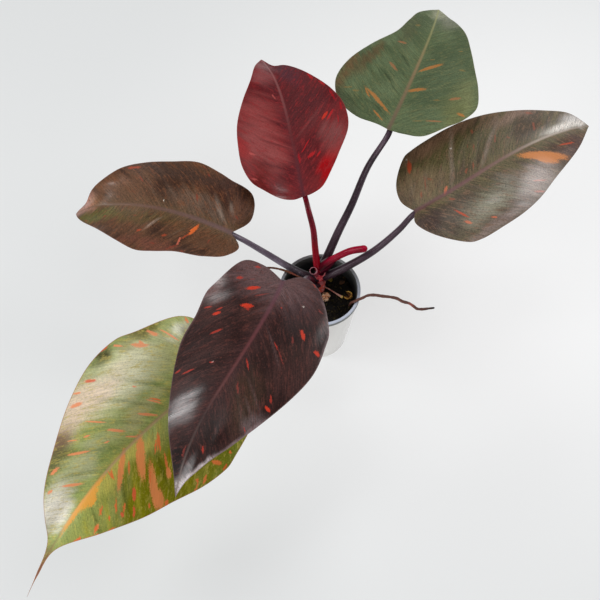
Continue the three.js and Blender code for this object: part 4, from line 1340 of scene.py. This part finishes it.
# Roots that leave the stem in the air, and a pale one on the mix. Tints: two of the skin, the tip
roots = {
    "aerialRootRight": {
        "route": [
            [37, -9, 92], [38, -13, 106], [39, -17, 118], [42, -18, 122.5], [46, -16.5, 124],
            [51, -15, 125.5], [58, -12, 127], [66, -11.5, 127.5], [76, -12, 126], [86, -12, 124],
            [94, -12.5, 121.5], [101, -14, 117], [110, -14, 112], [116, -16, 108], [120, -17.5, 105],
            [127, -17, 103], [134, -15.5, 102], [141, -14, 101]],
        "radii": [1.5, 1.7, 1.5, 1.8, 1.9, 1.9, 1.9, 1.8, 1.7, 1.3],
        "steps": 190,
        "tip": 1.6,
        "tints": [(84, 50, 44), (124, 80, 66), (40, 26, 24)],
        "warm": [108, 7],  # a reddish stretch: its middle and half its length
        "slot": "aerial_root",
    },
    "aerialRootLeft": {
        "route": [
            [-4, 13, 119], [-16, 16, 119], [-25, 17.5, 119.5], [-38, 22, 121.5], [-48, 25, 122.5],
            [-60, 27, 123], [-72, 27, 121], [-88, 24, 115], [-102, 17, 109]],
        "radii": [1.8, 1.6, 1.4, 1.3, 1.3, 1.2, 0.8],
        "steps": 150,
        "tip": 1.0,
        "tints": [(104, 62, 46), (150, 98, 66), (60, 34, 26)],
        "warm": [30, 10],
        "slot": "aerial_root",
    },
    "rootlet": {
        "route": [[5, 14.5, 100], [12, 10.5, 100.2], [20, 5, 100], [28, -0.5, 100.6]],
        "radii": [0.8, 0.8, 0.9, 1.8],
        "steps": 60,
        "tip": 1.2,
        "tints": [(206, 134, 118), (240, 190, 172), (255, 214, 122)],
        "warm": [12, 4],
        "slot": "rootlet",
    },
}


def makeRoots():
    for name, root in roots.items():
        finish = Finish("skin_" + name, specularIorLevel=0.45)
        along, around, upness = finish.split(finish.mark("runPlace"))
        *skin, end = root["tints"]
        span = lengthOf(root["route"])
        middle, reach = root["warm"]
        bark = finish.noise((along * 0.5, around * 0.9, 2), 1.1, 4, 0.65)
        broad = finish.noise((along * 0.06, 0, 5), 1, 2)
        colour = finish.between(skin, bark * 0.6 + broad * 0.6, 0.4, 0.8)
        colour = finish.laid(colour, (196, 100, 84), abs(along - middle), reach, 0, 0.6)
        colour = finish.laid(colour, end, along, span * 0.9, span)
        finish.feed(baseColor=colour, roughness=0.42 + 0.25 * bark, normal=finish.bump(bark, 0.0005, 0.7))

        def knobbly(share, angle, twist=len(name)):
            swell = 0.05 * math.sin(share * 61 + twist) + 0.04 * math.sin(share * 143)
            return 1 + swell + 0.04 * math.sin(2 * angle + share * 30)

        shape = Shape()
        sweep(shape, root["route"], root["radii"], root["steps"], 18, knobbly, root["tip"], 0.8)
        makePiece(name, shape, [finish], root["slot"])
    print("roots")


# Pots, as turned bodies
outerPot = {
    "height": 118.5,
    "topRadius": 49.1,
    "baseRadius": 37,
    "wall": 1.6,
    "floor": 3,
    "glaze": (244, 242, 238),
    "dusty": (234, 232, 228),
    "lowShade": (206, 200, 190),
}

growPot = {
    "rimRadius": 50,
    "rimTop": 120,
    "rimInnerRadius": 46.4,
    "rimThickness": 1.2,
    "collarHeight": 6,
    "collarThickness": 0.6,
    "wall": 0.8,
    "floorUnder": 6,
    "floorOuterRadius": 35.2,
    "drainHoles": 6,
    "drainRadius": 4,
    "drainCircle": 22,
    "stepDown": 8,  # depth below the rim of a step in the inner wall
    # the rim's blue-grey is partly painted reflection; its back half is painted darker grey, painted shade
    "rim": [(176, 184, 200), (198, 206, 222)],
    "rimBackShade": (146, 150, 148),
    "inside": [(26, 28, 28), (44, 46, 47)],
    "litInsideTop": (124, 128, 125),
}


def makeOuterPot():
    pot = outerPot
    base, top, height, floor = pot["baseRadius"], pot["topRadius"], pot["height"], pot["floor"]
    foot = base + (top - base) / height * floor - pot["wall"]
    shape = turned([
        [0.01, 0.6, 0], [base - 3.5, 0.6, 0.4], [base - 2.8, 0, 0.4], [base, 0, 0.7], [top, height, 0.5],
        [top - pot["wall"], height, 0.5], [foot, floor, 1.2], [0.01, floor, 0],
    ])
    finish = Finish("whiteGlaze", specularIorLevel=0.5, coatWeight=0.3, coatRoughness=0.08)
    place = finish.place()
    ripple = finish.noise(finish.stretched(place, (30, 30, 12)), 1, 2)
    pits = finish.noise(place, 700, 2)
    dust = finish.noise(place, 45, 4)
    z = finish.split(place)[2]
    colour = finish.mix(dust * 0.5, tint(*pot["glaze"]), tint(*pot["dusty"]))
    # darker towards the floor: painted shade, patchy with the dust noise
    colour = finish.laid(colour, pot["lowShade"], z, 0.02, 0.0, dust * 0.5)
    height = ripple + pits * 0.05
    finish.feed(baseColor=colour, roughness=0.16 + 0.10 * dust, normal=finish.bump(height, 0.0008, 0.25))
    makePiece("outerPot", shape, [finish], "white_pot", 30)


def makeGrowPot():
    pot = growPot
    rim, inner, top, thick = pot["rimRadius"], pot["rimInnerRadius"], pot["rimTop"], pot["rimThickness"]
    low, foot, wall = pot["floorUnder"], pot["floorOuterRadius"], pot["wall"]
    lean = (inner - foot + wall) / (top - low)
    collar = rim - pot["collarThickness"]
    collarFoot = top - pot["collarHeight"]
    step, stepDown = inner - lean * pot["stepDown"], top - pot["stepDown"]
    shape = turned([
        [0.01, low, 0], [foot, low, 1], [inner + wall, top - thick, 0.3], [collar, top - thick, 0.2],
        [collar, collarFoot, 0.2], [rim, collarFoot, 0.2], [rim, top, 1.1], [inner, top, 1.1],
        [step, stepDown, 0.4], [step - 0.35, stepDown - 0.6, 0.3],
        [foot - wall + lean * thick, low + thick, 1], [0.01, low + thick, 0],
    ])
    cutter = Shape()
    sides = 24
    ring = roundAngles(sides)
    for angle in roundAngles(pot["drainHoles"]):
        x = np.cos(ring) * pot["drainRadius"] + math.cos(angle) * pot["drainCircle"]
        y = np.sin(ring) * pot["drainRadius"] + math.sin(angle) * pot["drainCircle"]
        ends = [np.column_stack([x, y, np.full(sides, z)]) for z in (low - 2, low + thick + 2)]
        cutter.add(ends, ringFaces(2, sides) + [range(sides - 1, -1, -1), range(sides, 2 * sides)])
    finish = Finish("growPotPlastic", specularIorLevel=0.5)
    place = finish.place()
    x, y, z = finish.split(place)
    scuffs = finish.noise(finish.stretched(place, (60, 60, 400)), 1, 4, 0.7)
    grain = finish.noise(place, 1500, 2)
    inside = finish.mix(scuffs, *[tint(*one) for one in pot["inside"]])
    # lighter on the inner wall just under the rim: painted light
    inside = finish.laid(inside, pot["litInsideTop"], z, 0.106, 0.119, 0.6)
    onRim = finish.mix(scuffs, *[tint(*one) for one in pot["rim"]])
    # darker grey on the back half of the rim: painted shade
    onRim = finish.laid(onRim, pot["rimBackShade"], y, -0.01, 0.03, 0.8)
    colour = finish.mix(finish.rise(z, 0.1186, 0.1194), inside, onRim)
    height = grain * 0.4 + scuffs
    finish.feed(baseColor=colour, roughness=0.26 + 0.2 * scuffs, normal=finish.bump(height, 0.0002, 0.4))
    piece = makePiece("growPot", shape, [finish], "grow_pot", 30)
    tool = makePiece("drainCutter", cutter, [finish])
    cut = piece.modifiers.new("drains", "BOOLEAN")
    cut.operation = "DIFFERENCE"
    cut.solver = "EXACT"
    cut.object = tool
    bpy.context.view_layer.update()
    made = bpy.data.meshes.new_from_object(piece.evaluated_get(bpy.context.evaluated_depsgraph_get()))
    piece.modifiers.clear()
    piece.data = made
    bpy.data.objects.remove(tool)


# Potting mix: rough top, loose crumbs, threads of fibre. Tints: two of the grain, specks
mix = {
    "top": 98,
    "edgeTop": 96.5,
    "flatRadius": 40,
    "bottom": 7.5,
    "gap": 0.4,  # to the grow pot's wall
    "crumbs": 520,
    "crumbReach": 43.5,
    "threads": 46,
    "threadReach": 38,
    "seed": 5,
    "soil": [(9, 8, 7), (26, 22, 17), (70, 60, 34)],
    "fibre": [(30, 26, 14), (74, 64, 32), (112, 98, 50)],
    "crumb": [(14, 11, 9), (40, 31, 20), (84, 66, 36)],
}


# Radius of the mix where it meets the grow pot's wall
def mixRadius(height):
    low = growPot["floorOuterRadius"] - growPot["wall"]
    share = (height - growPot["floorUnder"]) / (growPot["rimTop"] - growPot["floorUnder"])
    return low + (growPot["rimInnerRadius"] - low) * share - mix["gap"]


def mixHeight(x, y):
    dip = max(0.0, (math.hypot(x, y) - mix["flatRadius"]) / 5) * (mix["top"] - mix["edgeTop"])
    rough = noise.noise((x * 0.12, y * 0.12, 3)) * 1.6
    rough += noise.noise((x * 0.4, y * 0.4, 7)) * 1.0
    rough += abs(noise.noise((x * 1.1, y * 1.1, 1))) * 0.9
    return mix["top"] - 0.4 + rough - dip


# A small lump: a rough ball of 42 points
def lumpOf(random):
    work = bmesh.new()
    bmesh.ops.create_icosphere(work, subdivisions=2, radius=1)
    points = np.array([v.co[:] for v in work.verts])
    faces = [[v.index for v in f.verts] for f in work.faces]
    work.free()
    return points * (1 + 0.28 * random.standard_normal(len(points)))[:, None].clip(0.6, 1.5), faces


def soilFinish(name, skin, speckTint, scale):
    finish = Finish(name, specularIorLevel=0.3)
    place = finish.place()
    grain = finish.noise(place, scale, 5, 0.7)
    patch = finish.noise(place, scale * 0.12, 3)
    specks = finish.noise(place, scale * 1.7, 2)
    colour = finish.between(skin, patch * 0.5 + grain * 0.6, 0.4, 0.75)
    colour = finish.laid(colour, speckTint, specks, 0.66, 0.72, 0.6)
    finish.feed(baseColor=colour, roughness=0.8 + 0.15 * grain, normal=finish.bump(grain, 0.0012, 0.8))
    return finish


# A random place on a disc
def scattered(random, reach):
    angle = random.uniform(0, fullTurn)
    radius = reach * math.sqrt(random.uniform(0, 1))
    return radius * math.cos(angle), radius * math.sin(angle)


def makeMix():
    random = np.random.default_rng(mix["seed"])
    shape = Shape()
    segments = 120
    angles = roundAngles(segments)
    circle = np.stack([np.cos(angles), np.sin(angles)], -1)
    tops = np.linspace(0.05, mixRadius(mix["edgeTop"]), 56)
    rings = [[(x, y, mixHeight(x, y)) for x, y in circle * radius] for radius in tops]
    bottom = mix["bottom"]
    for radius, height in ((mixRadius(60), 60), (mixRadius(bottom), bottom), (0.05, bottom)):
        rings.append([(x, y, height) for x, y in circle * radius])
    shape.add(np.vstack(rings), ringFaces(len(rings), segments))
    # crumbs lie half sunk in the surface
    for i in range(mix["crumbs"]):
        x, y = scattered(random, mix["crumbReach"])
        size = random.uniform(0.5, 1.3) if i % 9 else random.uniform(1.4, 2.4)
        points, faces = lumpOf(random)
        points = points * size * np.array([1, random.uniform(0.6, 1), random.uniform(0.5, 0.8)])
        points = spun(points, random.uniform(0, fullTurn)) + [x, y, mixHeight(x, y) + size * 0.2]
        shape.add(points, faces, 2 if i % 3 else 1)
    for i in range(mix["threads"]):
        x, y = scattered(random, mix["threadReach"])
        heading = random.uniform(0, fullTurn)
        route = []
        for k in range(5):
            heading += random.uniform(-0.7, 0.7)
            x += math.cos(heading) * random.uniform(1.2, 2.4)
            y += math.sin(heading) * random.uniform(1.2, 2.4)
            if math.hypot(x, y) > 43:
                break
            route.append([x, y, mixHeight(x, y) + 0.5 + 0.5 * (k % 2)])
        if len(route) > 2:
            thread = Shape()
            sweep(thread, route, [0.12, 0.22, 0.1], 14, 6)
            shape.add(thread.points, thread.faces, 1)
    kinds = (("pottingSoil", "soil", 900), ("soilFibre", "fibre", 1400), ("soilCrumb", "crumb", 1100))
    finishes = [soilFinish(name, mix[key][:2], mix[key][2], scale) for name, key, scale in kinds]
    makePiece("pottingMix", shape, finishes, "potting_mix", 40)
    print("potting mix")


# Pieces of bark on the mix. Tints: two of the layers, dark patches
chips = {
    # the tan chip's tints are raised to make up for the pot's shade: partly painted light
    "barkChipTan": {"place": [7.4, -0.4], "size": [12.5, 10], "height": 3, "turn": 60, "slot": "bark_tan",
                    "tints": [(226, 136, 80), (255, 238, 204), (96, 46, 26)], "coarse": 2.6},
    "barkChipBrown": {"place": [28, 21], "size": [8, 5], "height": 2.5, "turn": 20, "slot": "bark_dark",
                      "tints": [(52, 32, 18), (92, 60, 32), (26, 16, 10)]},
    "barkChipOlive": {"place": [13, 25.5], "size": [8, 6], "height": 2, "turn": 100, "slot": "bark_olive",
                      "tints": [(84, 74, 20), (136, 118, 46), (26, 22, 10)]},
    "barkChipFront": {"place": [-8, -24], "size": [12, 7], "height": 3, "turn": 10, "slot": "bark_dark",
                      "tints": [(70, 48, 30), (112, 80, 50), (40, 28, 18)]},
    "barkChipLeft": {"place": [-29, -4], "size": [10, 7], "height": 3, "turn": 140, "slot": "bark_dark",
                     "tints": [(76, 54, 34), (118, 86, 54), (42, 30, 20)]},
}

chipShape = {
    "outline": [[-0.5, -0.2], [-0.2, -0.5], [0.35, -0.42], [0.5, 0.05], [0.28, 0.5], [-0.3, 0.42]],
    "sides": 60,
    # share of the height, share of the outline
    "rings": [(0, 0.01), (0, 0.5), (0.02, 0.93), (0.12, 1), (0.4, 1.02), (0.62, 0.99), (0.86, 1),
              (0.97, 0.93), (1, 0.7), (1, 0.4), (1, 0.01)],
    "lift": 0.3,  # of the bark above the mix
}

barkCurl = {
    "centre": [35, 3],
    "bend": 5,
    "radius": 1.2,
    "from": -150,
    "to": 110,
    "golden": [(150, 84, 20), (255, 204, 100), (84, 44, 12)],
    "brown": [(64, 34, 10), (128, 78, 26), (30, 16, 6)],
}


def barkFinish(name, tints, turn=0, coarse=2):
    *layerTints, dark = tints
    finish = Finish(name, specularIorLevel=0.35)
    lined = finish.node("ShaderNodeMapping", sockets={
        "Vector": finish.place(), "Rotation": (0, 0, math.radians(-turn)),
        "Scale": [scale / coarse for scale in (260, 1500, 2200)]})
    layers = finish.noise(lined, 1, 4, 0.65)
    colour = finish.between(layerTints, layers, 0.35, 0.65)
    colour = finish.laid(colour, dark, finish.noise(finish.place(), 240, 3), 0.50, 0.62, 0.85)
    finish.feed(baseColor=colour, roughness=0.7 + 0.2 * layers, normal=finish.bump(layers, 0.0008, 0.7))
    return finish


def makeChips():
    ground = mix["top"] + chipShape["lift"]
    sides = chipShape["sides"]
    spread = np.linspace(0, 6, sides, endpoint=False)
    i = np.floor(spread).astype(int)
    t = (spread - i)[:, None]
    for order, (name, chip) in enumerate(chips.items()):
        tall = chip["height"]
        corners = np.array(chipShape["outline"]) * chip["size"]
        edge = corners[i] * (1 - t) + corners[(i + 1) % 6] * t
        points = []
        for level, reach in chipShape["rings"]:
            for x, y in edge:
                rough = noise.noise((x * 0.5 + order * 9, y * 0.5, level * 3)) * 0.16
                split = noise.noise((x * 0.2, y * 1.6 + order * 5, level * 9)) * 0.08
                scale = reach * (1 + (rough + split) * min(1, reach * 2))
                crest = 0.22 * noise.noise((x * reach * 0.35, y * reach * 1.2, 4 + order)) * tall
                points.append((x * scale, y * scale, level * (tall + crest)))
        points = spun(np.array(points), math.radians(chip["turn"])) + [*chip["place"], ground]
        shape = Shape()
        shape.add(points, ringFaces(len(chipShape["rings"]), sides))
        finish = barkFinish("bark_" + name, chip["tints"], chip["turn"], chip.get("coarse", 1))
        makePiece(name, shape, [finish], chip["slot"], 40)
    angles = np.radians(np.linspace(barkCurl["from"], barkCurl["to"], 9))
    x, y = barkCurl["centre"]

    def bent(reach, radius):
        return [[x + math.cos(a) * reach, y + math.sin(a) * reach, ground + radius] for a in angles]

    def peeled(share, angle):
        return 1 + 0.22 * math.sin(2 * angle + share * 9) + 0.12 * math.sin(share * 37)

    radius = barkCurl["radius"]
    outer = [radius * share for share in (0.8, 1, 0.6)]
    shape = Shape()
    sweep(shape, bent(barkCurl["bend"], radius), outer, 60, 20, peeled, 0.5, 0.5)
    sweep(shape, bent(barkCurl["bend"] * 0.5, 1), [0.7, 1.5, 1.0], 40, 16, peeled, 0.5, 0.5, slot=1)
    finishes = [barkFinish("goldenCurl", barkCurl["golden"]), barkFinish("brownCurl", barkCurl["brown"])]
    makePiece("barkCurl", shape, finishes, "bark_gold", 40)
    print("bark")


makeCamera()
makeStudio()
makeFloor()
print("camera and studio")
makeBlades()
makeStalks()
makeStem()
makeStub()
makeNewLeaf()
makeSheath()
print("crown")
makeRoots()
makeOuterPot()
makeGrowPot()
print("pots")
makeMix()
makeChips()
